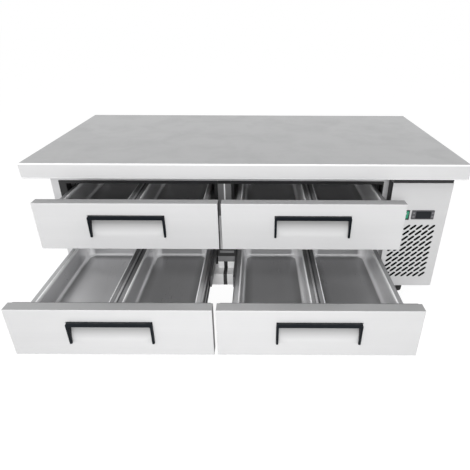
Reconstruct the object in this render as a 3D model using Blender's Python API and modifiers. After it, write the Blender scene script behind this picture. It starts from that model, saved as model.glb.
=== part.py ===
"""Refrigerated chef base: a flat worktop on an insulated cabinet, with four pan drawers
standing open at the front, a machine compartment at the right end and four casters.

Metres, +Z up, the front faces -Y. The origin is on the floor, under the middle of the box
that holds the base with its drawers open as they are here.
"""
import math

import bmesh
import bpy
from mathutils import Euler, Matrix, Vector

# Overall sizes
WORKTOP_WIDTH = 1.690
WORKTOP_DEPTH = 0.838
WORKTOP_THICKNESS = 0.060
WORKTOP_EDGE_RADIUS = 0.002
OVERALL_HEIGHT = 0.676
LEFT_OVERHANG = 0.054
RIGHT_OVERHANG = 0.025
FRONT_OVERHANG = 0.054

# Sheet, gaps and the overrun of every cut
SKIN = 0.0012
FRAME_SHEET = 0.002
SEAT_GAP = 0.0003
CUT_OVERRUN = 0.010
FILL_PORT = 0.016

# Insulated cabinet
BULKHEAD_THICKNESS = 0.0385
BACK_THICKNESS = 0.045
FLOOR_THICKNESS = 0.040
WALL_INSET = 0.012
FRAME_DEPTH = 0.040
MULLION_WIDTH = 0.080

# Drawer fronts, seen closed, and the sill under them
FRONT_TOP_GAP = 0.038
FRONT_ROW_GAP = 0.045
SILL_HEIGHT = 0.056
SILL_TO_FRONT = 0.012
FRONT_SPLIT = 0.012
FRONT_LAP = 0.020
FRONT_THICKNESS = 0.040
FRONT_EDGE_RADIUS = 0.0015
LEFT_STILE_SHOWN = 0.0395
GASKET_THICKNESS = 0.010
GASKET_WIDTH = 0.014
GASKET_INSET = 0.005
GASKET_CLEARANCE = 0.002

# How far the drawers stand open
UPPER_PULL = 0.198
LOWER_PULL = 0.505

# Grip: a scoop pressed in the front, with a dark lip over it
GRIP_WIDTH = 0.276
GRIP_DROP = 0.0455
GRIP_LIFT = 0.0495
GRIP_DEPTH = 0.028
GRIP_LIP_HEIGHT = 0.015
GRIP_LIP_THICKNESS = 0.004
GRIP_LEG_WIDTH = 0.008
GRIP_LEG_PROUD = 0.004
GRIP_PROUD = 0.010
GRIP_STEPS = 6

# Drawer frame and slides
SLIDE_THICKNESS = 0.006
SLIDE_HEIGHT = 0.045
SLIDE_GAP = 0.0004
SLIDE_TO_OPENING = 0.0015
SLIDE_STOP = 0.015
DRAWER_CLEARANCE = 0.006
DRAWER_HEADROOM = 0.024
DRAWER_TO_EVAPORATOR = 0.0581
PAN_FLANGE = 0.013
PAN_GUTTER = 0.012
BACK_LEDGE = 0.030
RACK_POST_DEPTH = 0.020
RACK_POST_INSET = 0.060

# Food pans
PAN_TO_DRAWER_BASE = 0.031
PAN_SHEET = 0.0015
PAN_RIM = 0.012
PAN_CORNER_RADIUS = 0.032
PAN_FOOT_RADIUS = 0.014
PAN_DRAFT = 0.007
PAN_CLEARANCE = 0.0006
PAN_CORNER_STEPS = 4

# Machine compartment
PANEL_WIDTH = 0.238
PANEL_TOP_GAP = 0.033
PANEL_SIDE_GAP = 0.0055
PANEL_TO_FRAME = 0.002
COVER_SHEET = 0.0015
SLOT_LENGTH = 0.030
SLOT_WIDTH = 0.006
SLOT_ANGLE = math.radians(42)
SLOT_PITCH_X = 0.0258
SLOT_PITCH_Z = 0.0256
SLOT_LEFT_MARGIN = 0.014
SLOT_RIGHT_MARGIN = 0.039
SLOT_BOTTOM_MARGIN = 0.040
SLOT_TO_SWITCH = 0.026
BACK_SLOT_LENGTH = 0.120
BACK_SLOT_WIDTH = 0.006
BACK_SLOT_PITCH = 0.024
BACK_SLOT_DROP = 0.110
BACK_SLOT_TO_GLAND = 0.050

# Controller and switch, placed from the panel's right edge and top edge
CONTROLLER_WIDTH = 0.092
CONTROLLER_HEIGHT = 0.040
CONTROLLER_PROUD = 0.004
CONTROLLER_RIGHT = 0.0525
CONTROLLER_DROP = 0.116
CONTROLLER_BODY_WIDTH = 0.071
CONTROLLER_BODY_HEIGHT = 0.029
CONTROLLER_BODY_DEPTH = 0.045
CUTOUT_CLEARANCE = 0.0005
SWITCH_WIDTH = 0.027
SWITCH_HEIGHT = 0.042
SWITCH_PROUD = 0.003
SWITCH_BODY_DEPTH = 0.024
SWITCH_FLANGE = 0.0015
SWITCH_WALL = 0.0015
SWITCH_TO_CONTROLLER = 0.0085
ROCKER_TRAVEL = math.radians(20)
ROCKER_THICKNESS = 0.008
ROCKER_HOLLOW = 0.0015
ROCKER_END_GAP = 0.0015

# Fan units: condenser in the machine compartment, evaporator behind the right drawers
CONDENSER_TO_WALL = 0.0185
CONDENSER_HEIGHT = 0.215
CONDENSER_DEPTH = 0.060
CONDENSER_SETBACK = 0.060
CONDENSER_FINS = 10
EVAPORATOR_WIDTH = 0.420
EVAPORATOR_HEIGHT = 0.240
EVAPORATOR_DEPTH = 0.080
EVAPORATOR_LIFT = 0.110
EVAPORATOR_FINS = 12
FAN_TO_HOUSING = 0.014
FAN_HOLE_CLEARANCE = 0.004
FAN_BLADES = 5
FAN_BLADE_SHEET = 0.0015
FAN_BLADE_WIDTH = 0.034
FAN_BLADE_PITCH = math.radians(28)
FAN_HUB_RADIUS = 0.022
FAN_HUB_DEPTH = 0.018
FAN_MOTOR_RADIUS = 0.018
FAN_STRUT = 0.010
FAN_SETBACK = 0.006
UNIT_SHEET = 0.0015
FIN_SHEET = 0.001
FIN_START = 0.036

# Compressor
COMPRESSOR_RADIUS = 0.066
COMPRESSOR_HEIGHT = 0.150
COMPRESSOR_BASE_LENGTH = 0.190
COMPRESSOR_BASE_WIDTH = 0.120
COMPRESSOR_BASE_THICKNESS = 0.006
COMPRESSOR_FOOT_RADIUS = 0.012
COMPRESSOR_FOOT_HEIGHT = 0.014
COMPRESSOR_FOOT_INSET = 0.017
COMPRESSOR_FROM_BACK = 0.270
COMPRESSOR_CAN_SHARES = (
    (0.0, 1.0), (0.45, 0.96), (0.80, 0.86), (0.97, 0.70), (1.0, 0.60), (1.0, 0.34), (0.96, 0.12), (0.86, 0.0),
    (0.0, 0.0))

# Cord gland in the back of the machine compartment
GLAND_RADIUS = 0.011
GLAND_FLANGE_RADIUS = 0.015
GLAND_FLANGE = 0.003
GLAND_LENGTH = 0.022
GLAND_BORE_RADIUS = 0.0045
GLAND_HEIGHT = 0.080
GLAND_FROM_RIGHT = 0.050

# Casters
WHEEL_RADIUS = 0.0375
WHEEL_TO_FORK = 0.0087
WHEEL_WIDTH = 0.025
WHEEL_SHOULDER = 0.006
WHEEL_HUB_RADIUS = 0.013
WHEEL_HUB_PROUD = 0.002
AXLE_RADIUS = 0.004
AXLE_CLEARANCE = 0.0004
AXLE_HEAD = 0.003
FORK_SHEET = 0.003
FORK_GAP = 0.0006
FORK_TRAIL = 0.018
FORK_LEG_WIDTH = 0.022
FORK_TOP_LENGTH = 0.050
SWIVEL_RADIUS = 0.028
SWIVEL_HEIGHT = 0.012
CASTER_INSET_X = 0.108
CASTER_INSET_FRONT = 0.092
CASTER_INSET_BACK = 0.100
ROUND_SEGMENTS = 20

# Sizes and places worked out from the sizes above
CASTER_HEIGHT = 2 * WHEEL_RADIUS + WHEEL_TO_FORK + FORK_SHEET + SWIVEL_HEIGHT + SEAT_GAP
BODY_HEIGHT = OVERALL_HEIGHT - WORKTOP_THICKNESS - CASTER_HEIGHT
FRONT_HEIGHT = (BODY_HEIGHT - FRONT_TOP_GAP - FRONT_ROW_GAP - SILL_TO_FRONT - SILL_HEIGHT) / 2
GRIP_HEIGHT = FRONT_HEIGHT - GRIP_DROP - GRIP_LIFT

REACH = LOWER_PULL - FRONT_OVERHANG + GRIP_PROUD
SLAB_FRONT_Y = (REACH - WORKTOP_DEPTH) / 2
BACK_Y = SLAB_FRONT_Y + WORKTOP_DEPTH
FACE_Y = SLAB_FRONT_Y + FRONT_OVERHANG
FRAME_Y = FACE_Y + FRONT_THICKNESS + GASKET_THICKNESS + GASKET_CLEARANCE
FRAME_BACK_Y = FRAME_Y + FRAME_DEPTH
BACK_WALL_Y = BACK_Y - BACK_THICKNESS
EVAPORATOR_Y = BACK_WALL_Y - SEAT_GAP - EVAPORATOR_DEPTH
DRAWER_LENGTH = EVAPORATOR_Y - DRAWER_TO_EVAPORATOR - FACE_Y - FRONT_THICKNESS - SEAT_GAP
SLIDE_LENGTH = DRAWER_LENGTH - SLIDE_STOP
PANEL_RETURN = FRAME_Y - FACE_Y - PANEL_TO_FRAME

LEFT_X = -WORKTOP_WIDTH / 2 + LEFT_OVERHANG
RIGHT_X = WORKTOP_WIDTH / 2 - RIGHT_OVERHANG
PANEL_LEFT_X = RIGHT_X - PANEL_WIDTH
FRONTS_LEFT_X = LEFT_X + LEFT_STILE_SHOWN
FRONTS_RIGHT_X = PANEL_LEFT_X - PANEL_SIDE_GAP
FRONT_WIDTH = (FRONTS_RIGHT_X - FRONTS_LEFT_X - FRONT_SPLIT) / 2
MULLION_X = (FRONTS_LEFT_X + FRONTS_RIGHT_X) / 2
OPENING_WIDTH = (FRONTS_RIGHT_X - FRONTS_LEFT_X - MULLION_WIDTH) / 2 - FRONT_LAP
OPENING_HEIGHT = FRONT_HEIGHT - 2 * FRONT_LAP
LEFT_OPENING_X = FRONTS_LEFT_X + FRONT_LAP
RIGHT_OPENING_X = FRONTS_RIGHT_X - FRONT_LAP
LEFT_WALL_X = LEFT_OPENING_X - WALL_INSET
BULKHEAD_X = RIGHT_OPENING_X + WALL_INSET
MACHINE_X = BULKHEAD_X + BULKHEAD_THICKNESS
CONDENSER_WIDTH = RIGHT_X - MACHINE_X - 2 * CONDENSER_TO_WALL
FAN_RADIUS = CONDENSER_WIDTH / 2 - FAN_TO_HOUSING

BODY_TOP_Z = OVERALL_HEIGHT - WORKTOP_THICKNESS - SEAT_GAP
FLOOR_Z = CASTER_HEIGHT + FLOOR_THICKNESS
PANEL_TOP_Z = OVERALL_HEIGHT - WORKTOP_THICKNESS - PANEL_TOP_GAP
SILL_TOP_Z = CASTER_HEIGHT + SILL_HEIGHT
LOWER_FRONT_Z = SILL_TOP_Z + SILL_TO_FRONT
UPPER_FRONT_Z = LOWER_FRONT_Z + FRONT_HEIGHT + FRONT_ROW_GAP

# Places inside one drawer, from the middle of its opening
SLIDE_MIDDLE_X = OPENING_WIDTH / 2 - SLIDE_TO_OPENING
SLIDE_INNER_X = SLIDE_MIDDLE_X - SLIDE_THICKNESS - SLIDE_GAP
SIDE_PLATE_X = SLIDE_INNER_X - SLIDE_THICKNESS
CELL_EDGE_X = SIDE_PLATE_X - FRAME_SHEET - PAN_FLANGE
GUTTER_HALF = PAN_GUTTER / 2 + PAN_FLANGE
CELL_LOW_Y = FRONT_THICKNESS + SEAT_GAP + FRAME_SHEET + PAN_FLANGE
CELL_HIGH_Y = FRONT_THICKNESS + SEAT_GAP + DRAWER_LENGTH - FRAME_SHEET - PAN_FLANGE - BACK_LEDGE
DRAWER_BASE_Z = FRONT_LAP + DRAWER_CLEARANCE
DRAWER_SIDE_HEIGHT = OPENING_HEIGHT - DRAWER_CLEARANCE - DRAWER_HEADROOM
PAN_DEPTH = DRAWER_SIDE_HEIGHT - PAN_TO_DRAWER_BASE
DRAWER_TOP_Z = DRAWER_BASE_Z + DRAWER_SIDE_HEIGHT
SLIDE_LOW_Z = DRAWER_BASE_Z + (DRAWER_SIDE_HEIGHT - SLIDE_HEIGHT) / 2

COLLECTIONS = {}
MATERIALS = {}


def clear_scene():
    for thing in list(bpy.data.objects):
        bpy.data.objects.remove(thing)
    for key, name in (("parts", "chef_base"), ("cutters", "cutters")):
        COLLECTIONS[key] = bpy.data.collections.new(name)
        bpy.context.scene.collection.children.link(COLLECTIONS[key])


def add_material(name, colour, roughness, metallic):
    material = bpy.data.materials.new(name)
    material.use_nodes = True
    shader = material.node_tree.nodes["Principled BSDF"]
    shader.inputs["Base Color"].default_value = (*colour, 1.0)
    shader.inputs["Roughness"].default_value = roughness
    shader.inputs["Metallic"].default_value = metallic
    MATERIALS[name] = material


def add_materials():
    add_material("brushed_stainless", (0.72, 0.72, 0.73), 0.34, 1.0)
    add_material("drawer_stainless", (0.60, 0.60, 0.61), 0.30, 1.0)
    add_material("pan_stainless", (0.55, 0.55, 0.56), 0.24, 1.0)
    add_material("zinc_slide", (0.42, 0.42, 0.43), 0.38, 1.0)
    add_material("black_plastic", (0.012, 0.014, 0.018), 0.42, 0.0)
    add_material("black_steel", (0.03, 0.03, 0.03), 0.45, 0.6)
    add_material("grey_gasket", (0.16, 0.16, 0.17), 0.70, 0.0)
    add_material("green_switch", (0.01, 0.36, 0.20), 0.30, 0.0)
    add_material("dark_controller", (0.05, 0.05, 0.06), 0.40, 0.0)
    add_material("coil_aluminium", (0.62, 0.63, 0.64), 0.45, 1.0)
    add_material("black_rubber", (0.02, 0.02, 0.02), 0.80, 0.0)


def add_object(name, mesh, place, material=None, parent=None, turn=(0, 0, 0)):
    """An object with its own origin at place, in the parent's frame if it has a parent."""
    thing = bpy.data.objects.new(name, mesh)
    thing.location = place
    thing.rotation_euler = turn
    thing.parent = parent
    COLLECTIONS["parts"].objects.link(thing)
    if material:
        mesh.materials.append(MATERIALS[material])
    return thing


def add_empty(name, place, turn=(0, 0, 0)):
    return add_object(name, None, place, turn=turn)


def mesh_from(builder, name):
    mesh = bpy.data.meshes.new(name)
    shape = bmesh.new()
    builder(shape)
    shape.to_mesh(mesh)
    shape.free()
    return mesh


def add_box(name, low, high, material=None, parent=None, turn=(0, 0, 0), bevel=0.0):
    """A box between two corners; a turn is about its own middle."""
    size = Vector(high) - Vector(low)
    middle = (Vector(high) + Vector(low)) / 2

    def build(shape):
        bmesh.ops.create_cube(shape, size=1.0, matrix=Matrix.Diagonal((*size, 1.0)))

    thing = add_object(name, mesh_from(build, name), middle, material, parent, turn)
    if bevel:
        rounding = thing.modifiers.new("rounded_edges", "BEVEL")
        rounding.width = bevel
        rounding.segments = 2
    return thing


def add_cylinder(name, radius, length, middle, axis="Z", material=None, parent=None, segments=ROUND_SEGMENTS):
    turns = {"X": (0, math.pi / 2, 0), "Y": (math.pi / 2, 0, 0), "Z": (0, 0, 0)}
    matrix = Euler(turns[axis]).to_matrix().to_4x4()

    def build(shape):
        bmesh.ops.create_cone(shape, cap_ends=True, segments=segments, radius1=radius, radius2=radius,
                              depth=length, matrix=matrix)

    thing = add_object(name, mesh_from(build, name), middle, material, parent)
    shade_round(thing)
    return thing


def shade_round(thing):
    thing.data.shade_smooth()
    thing.data.set_sharp_from_angle(angle=math.radians(40))


def add_outlines(name, outlines, thickness, plane, place, material=None, parent=None):
    """Flat outlines given thickness, half of it each way from place.

    plane YZ takes points (y, z) and thickens along X, XZ takes (x, z) and thickens along Y,
    XY takes (x, y) and thickens along Z.
    """
    frames = {"YZ": ((0, 1, 0), (0, 0, 1), (1, 0, 0)),
              "XZ": ((1, 0, 0), (0, 0, 1), (0, -1, 0)),
              "XY": ((1, 0, 0), (0, 1, 0), (0, 0, 1))}
    curve = bpy.data.curves.new(name, "CURVE")
    curve.dimensions = "2D"
    curve.fill_mode = "BOTH"
    curve.extrude = thickness / 2
    for outline in outlines:
        spline = curve.splines.new("POLY")
        spline.points.add(len(outline) - 1)
        for point, (u, v) in zip(spline.points, outline):
            point.co = (u, v, 0, 1)
        spline.use_cyclic_u = True
    guide = bpy.data.objects.new(name + "_outline", curve)
    COLLECTIONS["cutters"].objects.link(guide)
    graph = bpy.context.evaluated_depsgraph_get()
    mesh = bpy.data.meshes.new_from_object(guide.evaluated_get(graph))
    bpy.data.objects.remove(guide)
    shape = bmesh.new()
    shape.from_mesh(mesh)
    bmesh.ops.remove_doubles(shape, verts=shape.verts, dist=SEAT_GAP / 10)
    shape.to_mesh(mesh)
    shape.free()
    mesh.transform(Matrix(frames[plane]).transposed().to_4x4())
    mesh.materials.clear()
    return add_object(name, mesh, place, material, parent)


def put_away(tool):
    """A cutter or a joined piece stays in the file as a wire guide."""
    tool.hide_render = True
    tool.display_type = "WIRE"
    COLLECTIONS["parts"].objects.unlink(tool)
    COLLECTIONS["cutters"].objects.link(tool)


def combine(target, tools, operation):
    for tool in tools:
        step = target.modifiers.new(tool.name, "BOOLEAN")
        step.operation = operation
        step.solver = "EXACT"
        step.object = tool
        put_away(tool)


def cut(target, *tools):
    combine(target, tools, "DIFFERENCE")


def join(target, *tools):
    combine(target, tools, "UNION")


def add_hollow_panel(name, low, high, port_middle, material="brushed_stainless", bevel=0.0):
    """An insulated panel as its folded skins, with the port that the foam goes in by."""
    panel = add_box(name, low, high, material, bevel=bevel)
    inset = Vector((SKIN, SKIN, SKIN))
    cavity = add_box(name + "_cavity", Vector(low) + inset, Vector(high) - inset)
    half = Vector((FILL_PORT, FILL_PORT, FILL_PORT)) / 2
    port = add_box(name + "_port", Vector(port_middle) - half, Vector(port_middle) + half)
    cut(panel, cavity, port)
    return panel


def build_worktop():
    port = ((MACHINE_X + RIGHT_X) / 2, BACK_WALL_Y, OVERALL_HEIGHT - WORKTOP_THICKNESS)
    add_hollow_panel("worktop", (-WORKTOP_WIDTH / 2, SLAB_FRONT_Y, OVERALL_HEIGHT - WORKTOP_THICKNESS),
                     (WORKTOP_WIDTH / 2, BACK_Y, OVERALL_HEIGHT), port, bevel=WORKTOP_EDGE_RADIUS)


def build_cabinet_walls():
    wall_base = FLOOR_Z + SEAT_GAP
    wall_front = FRAME_BACK_Y + SEAT_GAP
    wall_back = BACK_WALL_Y - SEAT_GAP
    middle_y = (wall_front + wall_back) / 2
    add_hollow_panel("left_wall", (LEFT_X, wall_front, wall_base), (LEFT_WALL_X, wall_back, BODY_TOP_Z),
                     ((LEFT_X + LEFT_WALL_X) / 2, middle_y, wall_base))
    add_hollow_panel("bulkhead", (BULKHEAD_X, wall_front, wall_base), (MACHINE_X, wall_back, BODY_TOP_Z),
                     ((BULKHEAD_X + MACHINE_X) / 2, middle_y, wall_base))
    add_hollow_panel("back_wall", (LEFT_X, BACK_WALL_Y, wall_base), (MACHINE_X, BACK_Y, BODY_TOP_Z),
                     (MULLION_X, (BACK_WALL_Y + BACK_Y) / 2, wall_base))


def build_floor_panel():
    """The base tray runs forward under the machine compartment, up to the louvred panel."""
    front_y = FRAME_BACK_Y + SEAT_GAP
    machine_front_y = FACE_Y + PANEL_RETURN + SEAT_GAP
    machine_left_x = MACHINE_X + SEAT_GAP
    floor = add_box("floor_panel", (LEFT_X, front_y, CASTER_HEIGHT), (RIGHT_X, BACK_Y, FLOOR_Z),
                    "brushed_stainless")
    apron = add_box("floor_apron", (machine_left_x, machine_front_y, CASTER_HEIGHT),
                    (RIGHT_X, front_y + FLOOR_THICKNESS, FLOOR_Z))
    join(floor, apron)
    cavity = add_box("floor_cavity", (LEFT_X + SKIN, front_y + SKIN, CASTER_HEIGHT + SKIN),
                     (RIGHT_X - SKIN, BACK_Y - SKIN, FLOOR_Z - SKIN))
    apron_cavity = add_box("floor_apron_cavity",
                           (machine_left_x + SKIN, machine_front_y + SKIN, CASTER_HEIGHT + SKIN),
                           (RIGHT_X - SKIN, front_y + FLOOR_THICKNESS, FLOOR_Z - SKIN))
    join(cavity, apron_cavity)
    half = FILL_PORT / 2
    middle_y = (front_y + BACK_WALL_Y) / 2
    port_x = (LEFT_X + LEFT_WALL_X) / 2
    port = add_box("floor_port", (port_x - half, middle_y - half, FLOOR_Z - half),
                   (port_x + half, middle_y + half, FLOOR_Z + half))
    cut(floor, cavity, port)


def opening_corners(left_x, front_z, grow, low_y, high_y):
    """The corners of one drawer opening in the front frame, grown by grow all round."""
    low_z = front_z + FRONT_LAP
    return ((left_x - grow, low_y, low_z - grow),
            (left_x + OPENING_WIDTH + grow, high_y, low_z + OPENING_HEIGHT + grow))


def build_front_frame():
    """Folded stainless frame round the four openings with a sill under them, hollow from behind."""
    right_x = MACHINE_X
    frame = add_box("front_frame", (LEFT_X, FRAME_Y, CASTER_HEIGHT), (right_x, FRAME_BACK_Y, BODY_TOP_Z),
                    "brushed_stainless")
    hollow = add_box("front_frame_hollow",
                     (LEFT_X + FRAME_SHEET, FRAME_Y + FRAME_SHEET, CASTER_HEIGHT + FRAME_SHEET),
                     (right_x - FRAME_SHEET, FRAME_BACK_Y + CUT_OVERRUN, BODY_TOP_Z - FRAME_SHEET))
    join(frame, add_box("front_sill", (LEFT_X, FACE_Y, CASTER_HEIGHT),
                        (FRONTS_RIGHT_X, FRAME_Y + FRAME_SHEET, SILL_TOP_Z)))
    sill_hollow = add_box("front_sill_hollow",
                          (LEFT_X + FRAME_SHEET, FACE_Y + FRAME_SHEET, CASTER_HEIGHT + FRAME_SHEET),
                          (FRONTS_RIGHT_X - FRAME_SHEET, FRAME_Y + 2 * FRAME_SHEET, SILL_TOP_Z - FRAME_SHEET))
    lefts = {"left": LEFT_OPENING_X, "right": RIGHT_OPENING_X - OPENING_WIDTH}
    levels = {"upper": UPPER_FRONT_Z, "lower": LOWER_FRONT_Z}
    for side, left_x in lefts.items():
        for level, front_z in levels.items():
            name = f"{level}_{side}_opening"
            cut(hollow, add_box(name + "_rim", *opening_corners(left_x, front_z, FRAME_SHEET, FRAME_Y,
                                                                FRAME_BACK_Y + 2 * CUT_OVERRUN)))
            cut(frame, add_box(name, *opening_corners(left_x, front_z, 0, FRAME_Y - CUT_OVERRUN,
                                                      FRAME_BACK_Y + CUT_OVERRUN)))
    join(hollow, sill_hollow)
    cut(frame, hollow)


def slot_outline(middle_u, middle_v, length, width, angle):
    """A long slot with pointed round ends, turned by angle from the flat."""
    half, reach, nose = width / 2, length / 2 - width / 2, length / 2
    corners = ((-reach, -half), (reach, -half), (nose, 0), (reach, half), (-reach, half), (-nose, 0))
    cosine, sine = math.cos(angle), math.sin(angle)
    return [(middle_u + x * cosine - y * sine, middle_v + x * sine + y * cosine) for x, y in corners]


def copies_in(room, pitch):
    """How many copies of a slot fit in a row, where room is what the first copy leaves."""
    return 1 + int(room / pitch)


def controller_middle():
    x = RIGHT_X - CONTROLLER_RIGHT - CONTROLLER_WIDTH / 2
    return Vector((x, FACE_Y, PANEL_TOP_Z - CONTROLLER_DROP - CONTROLLER_HEIGHT / 2))


def switch_middle():
    middle = controller_middle()
    offset = CONTROLLER_WIDTH / 2 + SWITCH_TO_CONTROLLER + SWITCH_WIDTH / 2
    return Vector((middle.x - offset, FACE_Y, middle.z - (SWITCH_HEIGHT - CONTROLLER_HEIGHT) / 2))


def build_louvre_panel():
    """Front cover of the machine compartment, a tray with slots and two cut-outs."""
    panel = add_box("louvre_panel", (PANEL_LEFT_X, FACE_Y, CASTER_HEIGHT),
                    (RIGHT_X, FACE_Y + PANEL_RETURN, PANEL_TOP_Z), "brushed_stainless")
    inside = add_box("louvre_panel_inside", (PANEL_LEFT_X + SKIN, FACE_Y + SKIN, CASTER_HEIGHT + SKIN),
                     (RIGHT_X - SKIN, FACE_Y + PANEL_RETURN + CUT_OVERRUN, PANEL_TOP_Z - SKIN))
    slot_reach = SLOT_LENGTH * math.cos(SLOT_ANGLE)
    slot_rise = SLOT_LENGTH * math.sin(SLOT_ANGLE)
    top_drop = CONTROLLER_DROP + SWITCH_HEIGHT + SLOT_TO_SWITCH
    room_x = PANEL_WIDTH - SLOT_LEFT_MARGIN - SLOT_RIGHT_MARGIN - slot_reach
    room_z = PANEL_TOP_Z - CASTER_HEIGHT - top_drop - SLOT_BOTTOM_MARGIN - slot_rise
    last_x = RIGHT_X - SLOT_RIGHT_MARGIN - slot_reach / 2
    first_z = PANEL_TOP_Z - top_drop - slot_rise / 2
    columns = copies_in(room_x, SLOT_PITCH_X)
    rows = copies_in(room_z, SLOT_PITCH_Z)
    outlines = [slot_outline(last_x - column * SLOT_PITCH_X, first_z - row * SLOT_PITCH_Z, SLOT_LENGTH,
                             SLOT_WIDTH, SLOT_ANGLE)
                for row in range(rows) for column in range(columns)]
    slots = add_outlines("louvre_slots", outlines, 2 * CUT_OVERRUN, "XZ", (0, FACE_Y, 0))
    holes = []
    for name, middle, width, height in (
            ("controller_cutout", controller_middle(), CONTROLLER_BODY_WIDTH, CONTROLLER_BODY_HEIGHT),
            ("switch_cutout", switch_middle(), switch_body_width(), switch_body_height())):
        half = Vector((width / 2 + CUTOUT_CLEARANCE, CUT_OVERRUN, height / 2 + CUTOUT_CLEARANCE))
        holes.append(add_box(name, middle - half, middle + half))
    cut(panel, inside, slots, *holes)


def build_machine_cover():
    """Side and back of the machine compartment, one folded sheet with slots in the back."""
    low_z = FLOOR_Z + SEAT_GAP
    left_x = MACHINE_X + SEAT_GAP
    front_y = FACE_Y + PANEL_RETURN + SEAT_GAP
    cover = add_box("machine_cover", (RIGHT_X - COVER_SHEET, front_y, low_z), (RIGHT_X, BACK_Y, BODY_TOP_Z),
                    "brushed_stainless")
    back = add_box("machine_cover_back", (left_x, BACK_Y - COVER_SHEET, low_z), (RIGHT_X, BACK_Y, BODY_TOP_Z))
    join(cover, back)
    middle_x = (left_x + RIGHT_X) / 2
    first_z = BODY_TOP_Z - BACK_SLOT_DROP
    room = first_z - gland_place().z - GLAND_FLANGE_RADIUS - BACK_SLOT_TO_GLAND
    outlines = [slot_outline(middle_x, first_z - row * BACK_SLOT_PITCH, BACK_SLOT_LENGTH, BACK_SLOT_WIDTH, 0)
                for row in range(copies_in(room, BACK_SLOT_PITCH))]
    slots = add_outlines("machine_cover_slots", outlines, 2 * CUT_OVERRUN, "XZ", (0, BACK_Y, 0))
    hole = add_cylinder("gland_hole", GLAND_RADIUS + CUTOUT_CLEARANCE, 2 * CUT_OVERRUN, gland_place(), "Y")
    cut(cover, slots, hole)


def gland_place():
    return Vector((RIGHT_X - GLAND_FROM_RIGHT, BACK_Y, FLOOR_Z + GLAND_HEIGHT))


def build_cord_gland():
    """Gland that the supply cord leaves by, its flange inside the back sheet."""
    place = gland_place()
    flange_y = BACK_Y - COVER_SHEET - SEAT_GAP - GLAND_FLANGE / 2
    gland = add_cylinder("cord_gland", GLAND_FLANGE_RADIUS, GLAND_FLANGE, (place.x, flange_y, place.z), "Y",
                         "black_plastic")
    middle = (place.x, BACK_Y - GLAND_LENGTH / 2, place.z)
    barrel = add_cylinder("cord_gland_barrel", GLAND_RADIUS, GLAND_LENGTH, middle, "Y")
    bore = add_cylinder("cord_gland_bore", GLAND_BORE_RADIUS, GLAND_LENGTH + 2 * CUT_OVERRUN, middle, "Y",
                        segments=ROUND_SEGMENTS // 2)
    join(gland, barrel)
    cut(gland, bore)


def build_controller():
    """Digital thermostat: a bezel proud of the panel and a body behind its cut-out."""
    middle = controller_middle()
    half_bezel = Vector((CONTROLLER_WIDTH / 2, 0, CONTROLLER_HEIGHT / 2))
    low = middle - half_bezel - Vector((0, CONTROLLER_PROUD, 0))
    controller = add_box("controller", low, middle + half_bezel - Vector((0, SEAT_GAP, 0)), "dark_controller")
    half_body = Vector((CONTROLLER_BODY_WIDTH / 2, 0, CONTROLLER_BODY_HEIGHT / 2))
    body = add_box("controller_body", middle - half_body - Vector((0, CONTROLLER_PROUD / 2, 0)),
                   middle + half_body + Vector((0, CONTROLLER_BODY_DEPTH, 0)))
    join(controller, body)


def switch_body_width():
    return SWITCH_WIDTH - 2 * SWITCH_FLANGE


def switch_body_height():
    return SWITCH_HEIGHT - 2 * SWITCH_FLANGE


def build_switch():
    """Rocker switch: a bezel with a well, and a rocker that is pressed in at its foot."""
    middle = switch_middle()
    half_bezel = Vector((SWITCH_WIDTH / 2, 0, SWITCH_HEIGHT / 2))
    housing = add_box("switch_housing", middle - half_bezel - Vector((0, SWITCH_PROUD, 0)),
                      middle + half_bezel - Vector((0, SEAT_GAP, 0)), "black_plastic")
    half_body = Vector((switch_body_width() / 2, 0, switch_body_height() / 2))
    body = add_box("switch_housing_body", middle - half_body - Vector((0, SWITCH_PROUD / 2, 0)),
                   middle + half_body + Vector((0, SWITCH_BODY_DEPTH, 0)))
    half_well = half_body - Vector((SWITCH_WALL, 0, SWITCH_WALL))
    well = add_box("switch_well", middle - half_well - Vector((0, SWITCH_PROUD + CUT_OVERRUN, 0)),
                   middle + half_well + Vector((0, SWITCH_BODY_DEPTH - SWITCH_WALL, 0)))
    join(housing, body)
    cut(housing, well)
    pivot = add_empty("rocker_pivot", middle, (ROCKER_TRAVEL / 2, 0, 0))
    reach = half_well.z - ROCKER_END_GAP
    front = -SWITCH_PROUD
    back = front + ROCKER_THICKNESS
    outline = [(front, -reach), (back, -reach), (back, reach), (front, reach), (front + ROCKER_HOLLOW, 0)]
    add_outlines("switch_rocker", [outline], 2 * (half_well.x - SEAT_GAP), "YZ", (0, 0, 0), "green_switch",
                 pivot)


def build_fan(name, place):
    """Fan with its hub at place, turning about Y."""
    hub = add_cylinder(name, FAN_HUB_RADIUS, FAN_HUB_DEPTH, place, "Y", "black_plastic")
    blade_start = FAN_HUB_RADIUS - FAN_BLADE_SHEET * 2
    middle = (blade_start + FAN_RADIUS) / 2
    size = Vector((FAN_BLADE_WIDTH, FAN_BLADE_SHEET, FAN_RADIUS - blade_start))

    def build(shape):
        for index in range(FAN_BLADES):
            spin = Matrix.Rotation(index * math.tau / FAN_BLADES, 4, "Y")
            pitch = Matrix.Rotation(FAN_BLADE_PITCH, 4, "Z")
            bmesh.ops.create_cube(shape, size=1.0, matrix=spin @ Matrix.Translation((0, 0, middle)) @ pitch
                                  @ Matrix.Diagonal((*size, 1.0)))

    blades = add_object(name + "_blades", mesh_from(build, name + "_blades"), place)
    join(hub, blades)


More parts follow.
